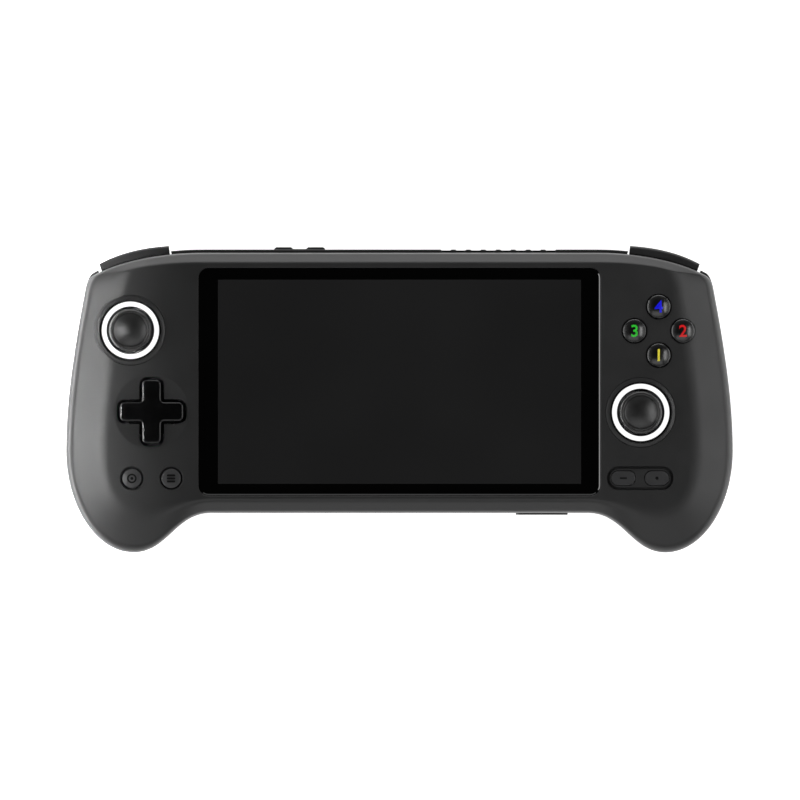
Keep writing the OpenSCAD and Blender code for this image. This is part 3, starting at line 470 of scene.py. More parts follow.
aluminium = surface("aluminium", (0.6, 0.6, 0.62), 0.34, spread=0.06, tint=0.08, grain=0.3, depth=0.004,
                    stretch=(1, 0.06, 1), metal=1.0)
copper = surface("copper", (0.62, 0.36, 0.24), 0.3, spread=0.08, tint=0.15, grain=0.5, depth=0.004,
                 stretch=(1, 0.08, 1), metal=1.0)
lens_glass = display_glass()
light_white = lit_ring()
circuit_board = circuit()
INK = {"blue": (0.006, 0.006, 0.85), "green": (0.03, 0.62, 0.035), "red": (0.74, 0.008, 0.01),
       "yellow": (0.9, 0.78, 0.06)}
inks = {k: surface("ink_" + k, c, 0.35, tint=0.08, grain=0.08, depth=0.003, patch=1)
        for k, c in INK.items()}


# Front half of the case: a round foot, a straight flank and a soft edge at the flat face
FLANK_FOOT = (0.0, 0.55)
FLANK_HEAD = (0.83, 1.0)


def on_flank(k):
    return tuple(FLANK_FOOT[a] + (FLANK_HEAD[a] - FLANK_FOOT[a]) * k for a in (0, 1))


def round_off(a, b, c, n):
    return [tuple((1 - t) ** 2 * a[i] + 2 * t * (1 - t) * b[i] + t * t * c[i] for i in (0, 1))
            for t in (k / n for k in range(n + 1))]


def crown(n):
    return (round_off((0, 0), FLANK_FOOT, on_flank(0.23), n) + [on_flank(0.4), on_flank(0.6)]
            + round_off(on_flank(0.79), FLANK_HEAD, (1, 1), n))


def crown_rings(loop, top, n):
    return [level(mix(loop, flat_loop, s), LAND_Z + (top - LAND_Z) * h) for s, h in crown(n)]


front = new_object("front_shell", loft(
    crown_rings(front_inner, CEILING_Z, 3)[::-1]
    + [level(inset(front_loop, LIP_T), LAND_Z), level(inset(front_loop, LIP_T), PART_Z),
       level(inset(front_loop, SEAM), PART_Z), level(front_loop, PART_Z + SEAM)]
    + crown_rings(front_loop, FRONT_Z, 9)))

# Openings in the front half, with flared edges. A tool ends a little above the face that it cuts
OVER_Z = FRONT_Z + 2
JUST_OVER = FRONT_Z + 0.02
FLARE = 0.22
LENS = (134.1, 75.8, 3.3)
WINDOW = (126.0, 72.0, 1.5)
GAP = 0.3


def lens_loop(extra, r_extra=0.0):
    return rounded(LENS[0] + extra, LENS[1] + extra, LENS[2] + r_extra)


def round_hole(at, r, flare, drop):
    return lathe([(0, PART_Z), (r, PART_Z), (r, FRONT_Z - drop), (r + flare, JUST_OVER), (r + flare, OVER_Z),
                  (0, OVER_Z)], at, 72)


FACE_PLACES = {"button_north": (FACE[0], FACE[1] + SPREAD), "button_south": (FACE[0], FACE[1] - SPREAD),
               "button_east": (FACE[0] + SPREAD, FACE[1]), "button_west": (FACE[0] - SPREAD, FACE[1])}
BUTTON_R = 3.95
SMALL_R = 3.5
DISH_R = 12.9
DISH_DEPTH = 0.9
DISH_STEPS = 16
dish_profile = [(DISH_R * i / DISH_STEPS, FRONT_Z - DISH_DEPTH * (1 - (i / DISH_STEPS) ** 2))
                for i in range(DISH_STEPS + 1)]
dish_profile += [(DISH_R + 0.15, FRONT_Z + 0.03), (DISH_R + 0.15, OVER_Z), (0, OVER_Z)]
# Groove round the pair of pill buttons, as lengths and widths of its outer and inner wall
GROOVE_OUT = (22.2, 8.0)
GROOVE_IN = (20.4, 6.2)
GROOVE_Z = FRONT_Z - 1.6
GROOVE_FLARE = 0.2


def groove_wall(size, flare, *levels):
    sizes = (0, 0, flare, flare)
    return [level(moved(pill_loop(size[0] + d, size[1] + d), PILL_MID), z) for d, z in zip(sizes, levels)]


GROOVE_LEVELS = (GROOVE_Z, FRONT_Z - 0.1, JUST_OVER, OVER_Z)
combine(front, "DIFFERENCE",
        stack((0, MID_Y), (rounded(*WINDOW), PART_Z), (rounded(*WINDOW), LENS_Z), (lens_loop(GAP), LENS_Z),
              (lens_loop(GAP), FRONT_Z - 0.2), (lens_loop(GAP + 2 * FLARE, FLARE), JUST_OVER),
              (lens_loop(GAP + 2 * FLARE, FLARE), OVER_Z)),
        *[round_hole(p, WELL_R - 0.5, 0.26, 0.2) for p in (LEFT_STICK, RIGHT_STICK)],
        *[round_hole(p, BUTTON_R + 0.25, 0.18, 0.2) for p in FACE_PLACES.values()],
        *[round_hole(p, SMALL_R + 0.22, 0.4, 0.35) for p in (HOME, TURBO)],
        lathe(dish_profile, PAD, 150),
        loft(groove_wall(GROOVE_OUT, GROOVE_FLARE, *GROOVE_LEVELS)
             + groove_wall(GROOVE_IN, -GROOVE_FLARE, *GROOVE_LEVELS)[::-1], closed=True))
PAD_L = 21.3
PAD_ARM = 6.4
PAD_END_R = 1.7
PILL = (8.1, 4.8)
pill_places = {"select_button": (PILL_MID[0] - PILL_STEP, PILL_MID[1]),
               "start_button": (PILL_MID[0] + PILL_STEP, PILL_MID[1])}


def pill(extra):
    return pill_loop(PILL[0] + extra, PILL[1] + extra)


pad_hole = cross_loop(PAD_L + 2, PAD_ARM + 1.8, PAD_END_R + 1, 0.4)
combine(front, "DIFFERENCE", stack(PAD, (pad_hole, PART_Z), (pad_hole, OVER_Z)),
        *[stack(p, (pill(0.4), PART_Z), (pill(0.4), FRONT_Z - 0.08), (pill(0.54), FRONT_Z + 0.01),
                (pill(0.54), OVER_Z)) for p in pill_places.values()])
# Low cones round the light rings, falling outwards to a groove in the face
RIM_FOOT = CEILING_Z + 0.03
RIM = [(10.2, RIM_FOOT), (10.2, 31.06), (10.25, 31.13), (10.36, 31.18), (10.5, 31.17), (10.75, 31.11),
       (11.1, 31.01), (11.45, 30.9), (11.55, 30.85), (11.62, 30.7), (WELL_R, 29.8), (WELL_R, RIM_FOOT)]
combine(front, "UNION", *[lathe(RIM, p, 160, closed=True) for p in (LEFT_STICK, RIGHT_STICK)])
piece(front, case_plastic, "console", "case_plastic", "front_case")

# Rear half: a flat back with rounded edges, and grips that swell out of it
EDGE_S = 0.11
EDGE_POWER = 2 / 2.4
GRIP_S = 0.5
GRIP_FOOT_X = 60
GRIP_RIDGE_X = HALF_W - 23.5
GRIP_HEAD_Y = MID_Y + 38
GRIP_NECK_Y = MID_Y + 2
GRIP_SWELL = BACK_Z + 1.6


def ease(a):
    t = min(1.0, max(0.0, a))
    return t * t * (3 - 2 * t)


def swell(p, s):
    return (GRIP_SWELL * math.sin(math.pi / 2 * min(1, s / GRIP_S))
            * ease((abs(p[0]) - GRIP_FOOT_X) / (GRIP_RIDGE_X - GRIP_FOOT_X))
            * ease((GRIP_HEAD_Y - p[1]) / (GRIP_HEAD_Y - GRIP_NECK_Y)))


def rear_ring(loop, s, e, inward):
    ring = []
    for p in mix(loop, oval_loop, s):
        d = min(PART_Z, (PART_Z - BACK_Z) * e + swell(p, s))
        ring.append((p[0], p[1], PART_Z - max(0, d - inward)))
    return ring


def edge_stations(count):
    turns = [math.pi / 2 * i / count for i in range(1, count + 1)]
    return [(EDGE_S * (1 - max(0, math.cos(t)) ** EDGE_POWER), math.sin(t) ** EDGE_POWER) for t in turns]


LIP_ROUND = 0.35
INSIDE_STEPS = (0.15, 0.2, 0.27, 0.34, 0.42, 0.5, 0.6, 0.7, 0.78, 0.85, 0.92, 1)
OUTSIDE_STEPS = 26
outer_rings = [rear_ring(rear_loop, s, e, 0) for s, e in edge_stations(14)]
outer_rings += [rear_ring(rear_loop, EDGE_S + (1 - EDGE_S) * (i / OUTSIDE_STEPS) ** 1.3, 1, 0)
                for i in range(1, OUTSIDE_STEPS + 1)]
inner_rings = [rear_ring(rear_inner, s, e, WALL)
               for s, e in edge_stations(4) + [(s, 1) for s in INSIDE_STEPS]]
lip_foot = inset(front_loop, LIP_T + 0.1)
lip_rings = [level(inset(rear_loop, LIP_ROUND * (1 - math.cos(a))), PART_Z - LIP_ROUND * (1 - math.sin(a)))
             for a in (math.radians(30 * i) for i in range(4))]
lip_rings += [level(lip_foot, PART_Z), level(lip_foot, PART_Z + LIP_H), level(front_inner, PART_Z + LIP_H)]
rear = new_object("rear_shell", loft(outer_rings[::-1] + lip_rings + inner_rings))

# Screw columns, then openings in the rear half
COLUMN_R = 3
GRIP_COLUMN_R = 2.6
GRIP_COLUMN_Z = 7.3
RECESS_R = 1.9
SCREW_X = 66.5
core_screws = [(x * SCREW_X, y) for x in (-1, 1) for y in (TOP_Y - 5.95, LOW_Y + 6.5)]
grip_screws = [(x * (GRIP_X + 2), GRIP_Y + 13.5) for x in (-1, 1)]


def rod(at, r, z, n=40):
    return lathe([(0, z[0]), (r, z[0]), (r, z[1]), (0, z[1])], at, n)


combine(rear, "UNION", *[rod(p, COLUMN_R, (BACK_Z + 1, PART_Z - 0.2)) for p in core_screws],
        *[rod(p, GRIP_COLUMN_R, (GRIP_COLUMN_Z, PART_Z - 0.2)) for p in grip_screws])

# Room for a bumper and a trigger at each shoulder
SHOULDER_DEEP = 13.6
SHOULDER_ROOM = (1, 1.15)
shoulder = shoulder_span(TOP_Y, CORNER)
shoulder_ends = [bezier(shoulder, t) for t in (0.25, 0.88)]
shoulder_mid = tuple((a + b) / 2 for a, b in zip(*shoulder_ends))
shoulder_run = tuple(b - a for a, b in zip(*shoulder_ends))
shoulder_half = math.dist(*shoulder_ends) / 2


def at_shoulder(mesh):
    turn = math.atan2(shoulder_run[1], shoulder_run[0])
    c, s = math.cos(turn), math.sin(turn)
    return [(shoulder_mid[0] + c * x - s * y, shoulder_mid[1] + s * x + c * y, z)
            for x, y, z in mesh[0]], mesh[1]


shoulder_gap = at_shoulder(box((-shoulder_half - SHOULDER_ROOM[0], shoulder_half + SHOULDER_ROOM[1]),
                               (-SHOULDER_DEEP, 20), (-1, PART_Z + 2)))
FAN = (33, TOP_Y - 30.9)
FAN_R = 15
FAN_PITCH = 3.2
FAN_SLOT = 1.6
FAN_ROWS = range(-4, 5)
KEY_Z = BACK_Z + 5
ROCKER_X = -33.4
ROCKER_L = 17.0
POWER_X = -16.0
POWER_HOLE = (7.5, 3.1)
USB_X, JACK_X, CARD_X = 0.0, 22.0, 47.6
USB_Z, JACK_Z, CARD_Z = 20.37, 19.5, 21.15
USB_HOLE = (9.54, 3.86)
JACK_HOLE = (5.6, 5.6)
CARD_SLOT = (13, 1.7)
SPEAKER_SLOT = (1.2, 4, 0.55)
SPEAKER_X = CROTCH_X - 5.4
SPEAKER_PITCH = 2.4
VENT_X = (13.9, 17.2)
VENT_PITCH = 5
VENT_ROWS = ((BACK_Z + 2.6, PART_Z - 4.5), (PART_Z - 3.7, PART_Z + 2))
WALL_Y = (LOW_Y - 3, LOW_Y + WALL + 3.6)
TOP_WALL_Y = (REAR_TOP_Y - WALL - 1.2, REAR_TOP_Y + 3)


def fan_slot(i):
    """One slot of the round grille under the fan, wider at the outside."""
    l = 2 * math.sqrt(FAN_R ** 2 - (FAN_PITCH * i) ** 2)
    wide, narrow = (pill_loop(l + e, FAN_SLOT + e, 10) for e in (0.5, 0))
    return stack((FAN[0], FAN[1] + FAN_PITCH * i), (wide, BACK_Z - 1), (wide, BACK_Z - 0.02),
                 (narrow, BACK_Z + 0.25), (narrow, FLOOR_Z + 1))


combine(rear, "DIFFERENCE",
        *[rod(p, RECESS_R, (-1, BACK_Z + 2.2)) for p in core_screws + grip_screws],
        *[box([x + VENT_PITCH * i for x in VENT_X], TOP_WALL_Y, z) for i in range(8) for z in VENT_ROWS],
        *[fan_slot(i) for i in FAN_ROWS],
        along_y(pill_loop(*USB_HOLE), USB_X, USB_Z, WALL_Y),
        along_y(pill_loop(*JACK_HOLE), JACK_X, JACK_Z, WALL_Y),
        along_y(pill_loop(*CARD_SLOT), CARD_X, CARD_Z, WALL_Y),
        *[along_y(rounded(*SPEAKER_SLOT, 4), x * (SPEAKER_X + SPEAKER_PITCH * i), KEY_Z, WALL_Y)
          for x in (-1, 1) for i in range(5)],
        along_y(rounded(ROCKER_L + 0.9, 3.6, 1), ROCKER_X, KEY_Z, TOP_WALL_Y),
        along_y(pill_loop(*POWER_HOLE), POWER_X, KEY_Z, TOP_WALL_Y),
        shoulder_gap, mirrored(shoulder_gap))
piece(rear, case_plastic, "console", "case_plastic", "rear_case")

# Surround of the card slot, with a finger notch
BEZEL = (17.4, 3.4)
NOTCH = (7, 2.4, 0.4)
bezel = new_object("card_bezel", along_y(pill_loop(*BEZEL), CARD_X, CARD_Z, (LOW_Y - 0.6, LOW_Y + 0.35)))
combine(bezel, "DIFFERENCE", along_y(pill_loop(*CARD_SLOT), CARD_X, CARD_Z, WALL_Y))
combine(bezel, "DIFFERENCE", along_y(rounded(*NOTCH), CARD_X, CARD_Z, (LOW_Y - 3, LOW_Y - 0.05)))
soften(bezel, 0.12, 2)
piece(bezel, case_plastic, "console", "case_plastic")

# Screen, with a narrow bevel round the glass
BEVEL = 0.38
BEVEL_DROP = BEVEL * math.tan(math.radians(16))
lens = new_object("screen_glass", stack(
    (0, MID_Y), (lens_loop(0), LENS_Z), (lens_loop(0), FRONT_Z - 0.16),
    (lens_loop(-0.06, -0.03), FRONT_Z - BEVEL_DROP),
    (lens_loop(-0.06 - 2 * BEVEL, -0.03 - BEVEL), FRONT_Z)))
piece(lens, lens_glass, "console", "lens_glass", "screen_lens", angle=10)

# Thumb sticks: a domed rubber cap over a round skirt, and a lit ring
DOME_R = 5.3
DOME_H = 1.05
NECK_R = 3.4
STEM_R = 2.02
SKIRT_R = 8.2


def skirt(r, turns):
    return [(r * math.sin(math.radians(a)), r * math.cos(math.radians(a))) for a in turns]


# A cap's profile from its middle: dome, groove, rolled rim, underside, skirt outside and in, bore
cap_profile = [(DOME_R * i / 14, CAP_TOP - DOME_H * (i / 14) ** 2) for i in range(15)]
cap_profile += [(r, CAP_TOP - drop) for r, drop in (
    (5.42, 1.14), (5.52, 1.19), (5.62, 1.14), (5.74, 0.96), (5.88, 0.8), (6.05, 0.72), (6.25, 0.7),
    (6.48, 0.74), (6.7, 0.85), (6.88, 1.02), (7.02, 1.24), (7.09, 1.45), (7.1, 1.6), (7.08, 1.76),
    (6.95, 1.94), (6.75, 2.08), (6.6, 2.15), (NECK_R + 0.2, 2.93), (NECK_R, 3.1))]
cap_profile += skirt(SKIRT_R, (24.6, 28, 32, 36, 40, 42)) + skirt(SKIRT_R - 0.8, (42, 37, 31, 27))
cap_profile += [(STEM_R, 6.4), (STEM_R, CAP_TOP - 2.4), (0, CAP_TOP - 2.4)]
RING_IN = 7.8
RING_FLANGE = 11.5
ring_profile = [(RING_IN, 28), (RING_FLANGE, 28), (RING_FLANGE, CEILING_Z), (RING_R, CEILING_Z),
                (RING_R, RING_Z - 0.3), (9.5, RING_Z), (8.03, RING_Z), (RING_IN, RING_Z - 0.3)]
for side, at in (("left", LEFT_STICK), ("right", RIGHT_STICK)):
    cap = new_object(side + "_thumb_cap", lathe([(r, z + STICK_PIVOT_Z) for r, z in cap_profile], at, 128))
    piece(cap, stick_rubber, side + "_stick", "stick_rubber", side + "_stick_cap")
    ring = new_object(side + "_glow_ring", lathe(ring_profile, at, 160, closed=True))
    piece(ring, light_white, "console", "light_ring", side + "_light_ring")

# Direction pad
PAD_TOP_Z = FRONT_Z + 1.5
PAD_FOOT_Z = FRONT_Z - 3.9
PAD_ROUND = ((0, 0.7), (0.06, 0.42), (0.2, 0.2), (0.42, 0.05), (0.7, 0))
PLATE_R = 8.5
PLATE_T = 0.75


def pad_layer(d, z):
    return cross_loop(PAD_L - 2 * d, PAD_ARM - 2 * d, PAD_END_R - d, 1 + d), z


pad = new_object("direction_pad", together(
    stack(PAD, pad_layer(0, PAD_FOOT_Z), *[pad_layer(d, PAD_TOP_Z - drop) for d, drop in PAD_ROUND]),
    rod(PAD, PLATE_R, (PAD_FOOT_Z, PAD_FOOT_Z + PLATE_T), 72)))
piece(pad, gloss_black, "dpad", "gloss_keys", "dpad")

# Face buttons with plain coloured numbers
BUTTON_TOP = FRONT_Z + 1.5
BUTTON_DOME = 0.85
BUTTON_EDGE = BUTTON_R - 0.3


def button_height(r):
    return BUTTON_TOP - BUTTON_DOME * (r / BUTTON_EDGE) ** 2


COLLAR_R = 4.9
COLLAR_Z = (CEILING_Z - 1.1, CEILING_Z - 0.1)
PLUNGER_R = 2.2
PLUNGER_Z = 26.6
button_profile = [(BUTTON_EDGE * i / 10, button_height(BUTTON_EDGE * i / 10)) for i in range(11)]
button_profile += [(3.76, BUTTON_TOP - 0.92), (3.85, BUTTON_TOP - 1.01), (3.92, BUTTON_TOP - 1.13),
                   (BUTTON_R, BUTTON_TOP - 1.28), (BUTTON_R, COLLAR_Z[1]), (COLLAR_R, COLLAR_Z[1]),
                   (COLLAR_R, COLLAR_Z[0]), (PLUNGER_R, COLLAR_Z[0]), (PLUNGER_R, PLUNGER_Z), (0, PLUNGER_Z)]
LEGENDS = {"button_north": ("4", "blue"), "button_west": ("3", "green"), "button_east": ("2", "red"),
           "button_south": ("1", "yellow")}
DIGIT_SIZE = 5.6
DIGIT_BOLD = 0.09
INK_RISE = 0.02
INK_T = 0.05


def digit_mesh(name, digit):
    """A flat number, cut finely enough to follow a dome."""
    curve = bpy.data.curves.new(name, "FONT")
    curve.body = digit
    curve.size = DIGIT_SIZE * MM
    curve.offset = DIGIT_BOLD * MM
    curve.align_x = "CENTER"
    curve.align_y = "CENTER"
    text = bpy.data.objects.new(name + "_text", curve)
    bpy.context.scene.collection.objects.link(text)
    data = bpy.data.meshes.new_from_object(text.evaluated_get(bpy.context.evaluated_depsgraph_get()))
    bpy.data.objects.remove(text)
    fine = bmesh.new()
    fine.from_mesh(data)
    bmesh.ops.triangulate(fine, faces=fine.faces)
    for _ in range(3):
        bmesh.ops.subdivide_edges(fine, edges=fine.edges, cuts=1, use_grid_fill=True)
    fine.to_mesh(data)
    fine.free()
    return data


for node, at in FACE_PLACES.items():
    key = new_object(node + "_key", lathe(button_profile, at, 96))
    piece(key, satin_black, node, "gloss_keys", node)
    digit, ink = LEGENDS[node]
    data = digit_mesh(node + "_number", digit)
    low = [min(v.co[a] for v in data.vertices) for a in (0, 1)]
    high = [max(v.co[a] for v in data.vertices) for a in (0, 1)]
    for v in data.vertices:
        x, y = (v.co[a] - (low[a] + high[a]) / 2 for a in (0, 1))
        height = button_height(math.hypot(x, y) / MM) + INK_RISE
        v.co = (at[0] * MM + x, at[1] * MM + y, height * MM)
    legend = bpy.data.objects.new(node + "_number", data)
    bpy.context.scene.collection.objects.link(legend)
    body = legend.modifiers.new("ink", "SOLIDIFY")
    body.thickness = INK_T * MM
    body.offset = -1
    baked(legend)
    piece(legend, inks[ink], node, "gloss_keys")

# Small round buttons and pill buttons, with plain marks
SMALL_TOP = FRONT_Z + 0.2
SMALL_HEAD_R = 3.24
SMALL_COLLAR_R = 4.4
SWITCH_Z = 26.5
SWITCH_R = 1.5
KEY_FOOT = (28, 28.9)
small_profile = [(0, SMALL_TOP), (2.95, SMALL_TOP), (3.1, SMALL_TOP - 0.05), (3.2, SMALL_TOP - 0.17),
                 (SMALL_HEAD_R, SMALL_TOP - 0.35), (SMALL_HEAD_R, 29.4), (SMALL_R, 29.2),
                 (SMALL_R, KEY_FOOT[1]), (SMALL_COLLAR_R, KEY_FOOT[1]), (SMALL_COLLAR_R, KEY_FOOT[0]),
                 (SWITCH_R, KEY_FOOT[0]), (SWITCH_R, SWITCH_Z), (0, SWITCH_Z)]
MARK_SUNK = 0.05
MARK = 0.03
MARK_RING = (1.05, 1.6)
DOT = (1.0, 1.0)
BAR = (2.8, 0.68)
DASH = (2.4, 0.5)


def flat_mark(loop, at, top):
    return stack(at, (loop, top - MARK_SUNK), (loop, top + MARK))


ring_low, ring_high = SMALL_TOP - MARK_SUNK, SMALL_TOP + MARK
home_mark = together(lathe([(MARK_RING[0], ring_low), (MARK_RING[1], ring_low), (MARK_RING[1], ring_high),
                            (MARK_RING[0], ring_high)], HOME, 64, closed=True),
                     flat_mark(pill_loop(*DOT), HOME, SMALL_TOP))
turbo_mark = together(*[flat_mark(pill_loop(*BAR), (TURBO[0], TURBO[1] + d), SMALL_TOP) for d in (-1, 0, 1)])
for node, at, mark in (("home_button", HOME, home_mark), ("turbo_button", TURBO, turbo_mark)):
    key = new_object(node + "_key", lathe(small_profile, at, 96))
    piece(key, key_plastic, node, "matte_keys", node)
    piece(new_object(node + "_mark", mark), mark_black, node, "matte_keys")
for node, at in pill_places.items():
    key = new_object(node + "_key", together(
        stack(at, (pill(0), KEY_FOOT[0]), (pill(0), FRONT_Z - 0.25), (pill(-0.1), FRONT_Z - 0.08),
              (pill(-0.4), FRONT_Z)),
        stack(at, (pill(1.2), KEY_FOOT[0]), (pill(1.2), KEY_FOOT[1])),
        rod(at, SWITCH_R, (SWITCH_Z, KEY_FOOT[0] + 0.5))))
    piece(key, key_plastic, node, "matte_keys", node)
    mark = pill_loop(*(DASH if node == "select_button" else DOT))
    piece(new_object(node + "_mark", flat_mark(mark, at, FRONT_Z)), mark_black, node, "matte_keys")

# Bumpers along the shoulders, stepped to fit outside the front half, each with an ear on its pin
BUMPER_Z = (PART_Z - 0.4 - 6.4, PART_Z - 0.4)
BUMPER_OUT = 2.2
BUMPER_CROWN = 0.4
BUMPER_DEEP = 4.4
BUMPER_GAP = 0.3
BUMPER_STEPS = 28
STEP_Z = PART_Z - 2.85
BUMPER_ROUND = ((0, 2.2), (0, 0.9), (0.09, 0.56), (0.33, 0.26), (0.7, 0.07), (1.15, 0))
BUMPER_PIVOT = (HALF_W - 39.5, TOP_Y - 7.5)
EAR_Z = (PART_Z - 4, PART_Z - 2)
EAR_R = (1.03, 2.2)


def beside(k, t, d):
    """The point d outside a curve at t."""
    p, a, b = bezier(k, t), bezier(k, t - 0.01), bezier(k, t + 0.01)
    q = (b[0] - a[0], b[1] - a[1])
    size = math.hypot(*q)
    return (p[0] - d * q[1] / size, p[1] + d * q[0] / size)


stations = [0.239 + 0.641 * i / BUMPER_STEPS for i in range(BUMPER_STEPS + 1)]
front_shoulder = shoulder_span(FRONT_TOP_Y, plus(CORNER, (0, FRONT_LIFT)))


def outer_edge(d):
    return [beside(shoulder, t, BUMPER_OUT - d + BUMPER_CROWN * math.sin(math.pi * i / BUMPER_STEPS))
            for i, t in enumerate(stations)]


deep_edge = [beside(shoulder, t, -BUMPER_DEEP) for t in stations[::-1]]
gap_edge = [beside(front_shoulder, t, BUMPER_GAP) for t in stations[::-1]]
bumper_mesh = loft([level(outer_edge(0) + deep_edge, z) for z in (BUMPER_Z[0], STEP_Z)]
                   + [level(outer_edge(d) + gap_edge, BUMPER_Z[1] - drop) for d, drop in BUMPER_ROUND])
ear_mesh = together(box((BUMPER_PIVOT[0], shoulder_ends[0][0] + 2),
                        (BUMPER_PIVOT[1] + 0.95, BUMPER_PIVOT[1] + 3.15), EAR_Z),
                    lathe([(EAR_R[0], EAR_Z[0]), (EAR_R[1], EAR_Z[0]), (EAR_R[1], EAR_Z[1]),
                           (EAR_R[0], EAR_Z[1])], BUMPER_PIVOT, 40, closed=True))
for side in ("right", "left"):
    flip = mirrored if side == "left" else (lambda mesh: mesh)
    bumper = new_object(side + "_shoulder_key", flip(bumper_mesh))
    soften(bumper, 0.2, 3)
    piece(bumper, case_plastic, side + "_bumper", "case_plastic", side + "_bumper")
    ear = new_object(side + "_shoulder_ear", flip(ear_mesh))
    piece(ear, case_plastic, side + "_bumper", "case_plastic")

# Volume key on the top edge, low in the middle
OUT_Y = REAR_TOP_Y + 0.8
BACK_Y = REAR_TOP_Y - 3.35
ROCKER_END = ROCKER_L / 2
ROCKER_HALF_T = 1.5
rocker_side = [(ROCKER_END + 0.8, BACK_Y - 1), (ROCKER_END + 0.8, BACK_Y), (ROCKER_END, BACK_Y),
               (ROCKER_END, OUT_Y - 0.5), (ROCKER_END - 0.6, OUT_Y), (2.8, OUT_Y), (2.2, OUT_Y - 0.6)]
rocker_loop = rocker_side + [(-x, y) for x, y in rocker_side[::-1]]
rocker = new_object("volume_key", stack((ROCKER_X, 0), (rocker_loop, KEY_Z - ROCKER_HALF_T),
                                        (rocker_loop, KEY_Z + ROCKER_HALF_T)))
soften(rocker, 0.2, 3, 30)
piece(rocker, key_plastic, "volume_rocker", "matte_keys", "volume_rocker")

# Finishes of the CAD pieces that stay
FINISH = {
    "case_plastic": case_plastic, "lens_glass": lens_glass, "display": inner_black,
    "aluminium": aluminium, "steel": steel, "circuit_board": circuit_board,
    "battery_wrap": battery_wrap, "light_ring": light_white, "key_rubber": key_rubber,
    "stick_rubber": stick_rubber, "gloss_keys": gloss_black, "matte_keys": key_plastic,
    "inner_plastic": inner_black}
EDGES = {"left_trigger": 0.5, "right_trigger": 0.5, "power_button": 0.2}


def soft_edges(obj, width):
    """Round the edges of a CAD piece with modifiers, and leave its mesh as it is."""
    weld = obj.modifiers.new("weld", "WELD")
    weld.merge_threshold = 1e-6
    flat = obj.modifiers.new("flat", "DECIMATE")
    flat.decimate_type = "DISSOLVE"
    flat.angle_limit = math.radians(2)
    edge = obj.modifiers.new("edges", "BEVEL")
    edge.width = width * MM
    edge.segments = 3
    edge.limit_method = "ANGLE"
    edge.angle_limit = math.radians(35)


for row in frame["record"]["subparts"]:
    name = row["node"]
    made = frame["nodes"][name]
    made.data.materials.clear()
    made.data.materials.append(copper if name == "heat_sink" else FINISH[row["material_slot"]])
    if name in EDGES:
        soft_edges(made, EDGES[name])

# Floor that the camera and reflections see as white, and studio light
FLOOR_R = 2500
FLOOR_GLOW = 0.85
floor_mesh = new_object("floor", lathe([(0, 0), (FLOOR_R, 0)], (0, 0), 64))
floor_paint, tree, bsdf = shader("floor_paint")
grain = ramp(tree, noise(tree, place(tree), 30), (0.80, 0.80, 0.80), (0.83, 0.83, 0.83))
tree.links.new(grain, bsdf.inputs["Base Color"])
bsdf.inputs["Roughness"].default_value = 0.9
path = add(tree, "ShaderNodeLightPath").outputs
seen = path["Is Camera Ray"]
for ray in ("Is Glossy Ray", "Is Transmission Ray"):
    seen = add(tree, "ShaderNodeMath", {0: seen, 1: path[ray]}, operation="MAXIMUM").outputs[0]
glow = add(tree, "ShaderNodeMath", {0: seen, 1: FLOOR_GLOW}, operation="MULTIPLY")
tree.links.new(glow.outputs[0], bsdf.inputs["Emission Strength"])
bsdf.inputs["Emission Color"].default_value = (1, 1, 1, 1)
floor_mesh.data.materials.append(floor_paint)

world = bpy.data.worlds.new("studio")
bpy.context.scene.world = world
world.use_nodes = True
tree = world.node_tree
up = add(tree, "ShaderNodeSeparateXYZ", {"Vector": add(tree, "ShaderNodeTexCoord").outputs["Generated"]})
sky = ramp(tree, up.outputs["Z"], (0.75, 0.75, 0.75), (0.02, 0.02, 0.02), 0.0, 0.85)
tree.links.new(sky, tree.nodes["Background"].inputs["Color"])
tree.nodes["Background"].inputs["Strength"].default_value = 0.6


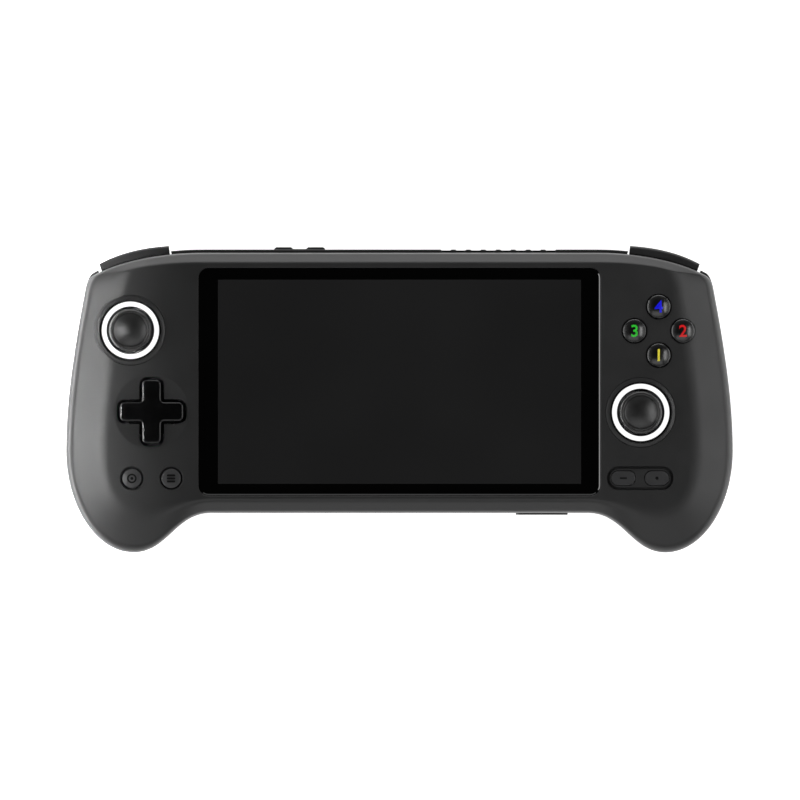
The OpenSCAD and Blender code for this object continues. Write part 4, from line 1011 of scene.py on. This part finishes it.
def softbox(name, at, size, radiance, spread, aim):
    """An area lamp, in metres, whose face has the given radiance."""
    light = bpy.data.lights.new(name, "AREA")
    light.shape = "RECTANGLE"
    light.size, light.size_y = size
    light.energy = radiance * math.pi * size[0] * size[1]
    light.spread = math.radians(spread)
    lamp = bpy.data.objects.new(name, light)
    lamp.location = at
    lamp.rotation_euler = (Vector(aim) - Vector(at)).to_track_quat("-Z", "Y").to_euler()
    bpy.context.scene.collection.objects.link(lamp)


LAMPS = (
    ("left_key", (-0.35, 0.0, 0.59), (0.5, 0.02), 2.65, 10.3, (-0.135, 0, 0.03)),
    ("left_lift", (-0.283, 0.0, 0.6), (0.5, 0.02), 1.35, 10.3, (-0.132, 0, 0.03)),
    ("left_mid", (-0.75, 0.0, 0.45), (1.0, 0.45), 2.6, 180, (0, 0, 0.03)),
    ("left_low", (-0.35, 0.0, 0.016), (0.6, 0.026), 42.0, 180, (0, 0, 0.016)),
    ("right_key", (0.436, 0.0, 0.588), (0.5, 0.1), 6.2, 180, (0.03, 0, 0.03)),
    ("right_mid", (0.75, 0.0, 0.35), (1.0, 0.25), 1.8, 180, (0, 0, 0.03)),
    ("right_low", (0.35, 0.0, 0.016), (0.6, 0.026), 7.0, 180, (0, 0, 0.016)),
    ("top_wall", (0.0, 0.8, 0.23), (1.0, 0.3), 3.3, 180, (0, 0, 0.03)),
    ("low_key", (0.0, -0.36, 0.62), (0.6, 0.25), 1.2, 180, (0, 0, 0.03)),
    ("low_wall", (0.0, -0.8, 0.23), (1.0, 0.3), 0.92, 180, (0, 0, 0.03)))
for lamp in LAMPS:
    softbox(*lamp)

# Camera straight above the screen, framed as the photograph is
CAMERA_AT = (0.00017, -0.00025, 6.0)
SENSOR = 36
FRAME_W = 0.26756
FRAME_Z = 0.024
camera = bpy.data.cameras.new("camera")
camera.sensor_width = SENSOR
camera.lens = SENSOR * (CAMERA_AT[2] - FRAME_Z) / FRAME_W
eye = bpy.data.objects.new("camera", camera)
eye.location = CAMERA_AT
bpy.context.scene.collection.objects.link(eye)
bpy.context.scene.camera = eye
bpy.context.scene.view_settings.view_transform = "Standard"

bpy.context.view_layer.update()
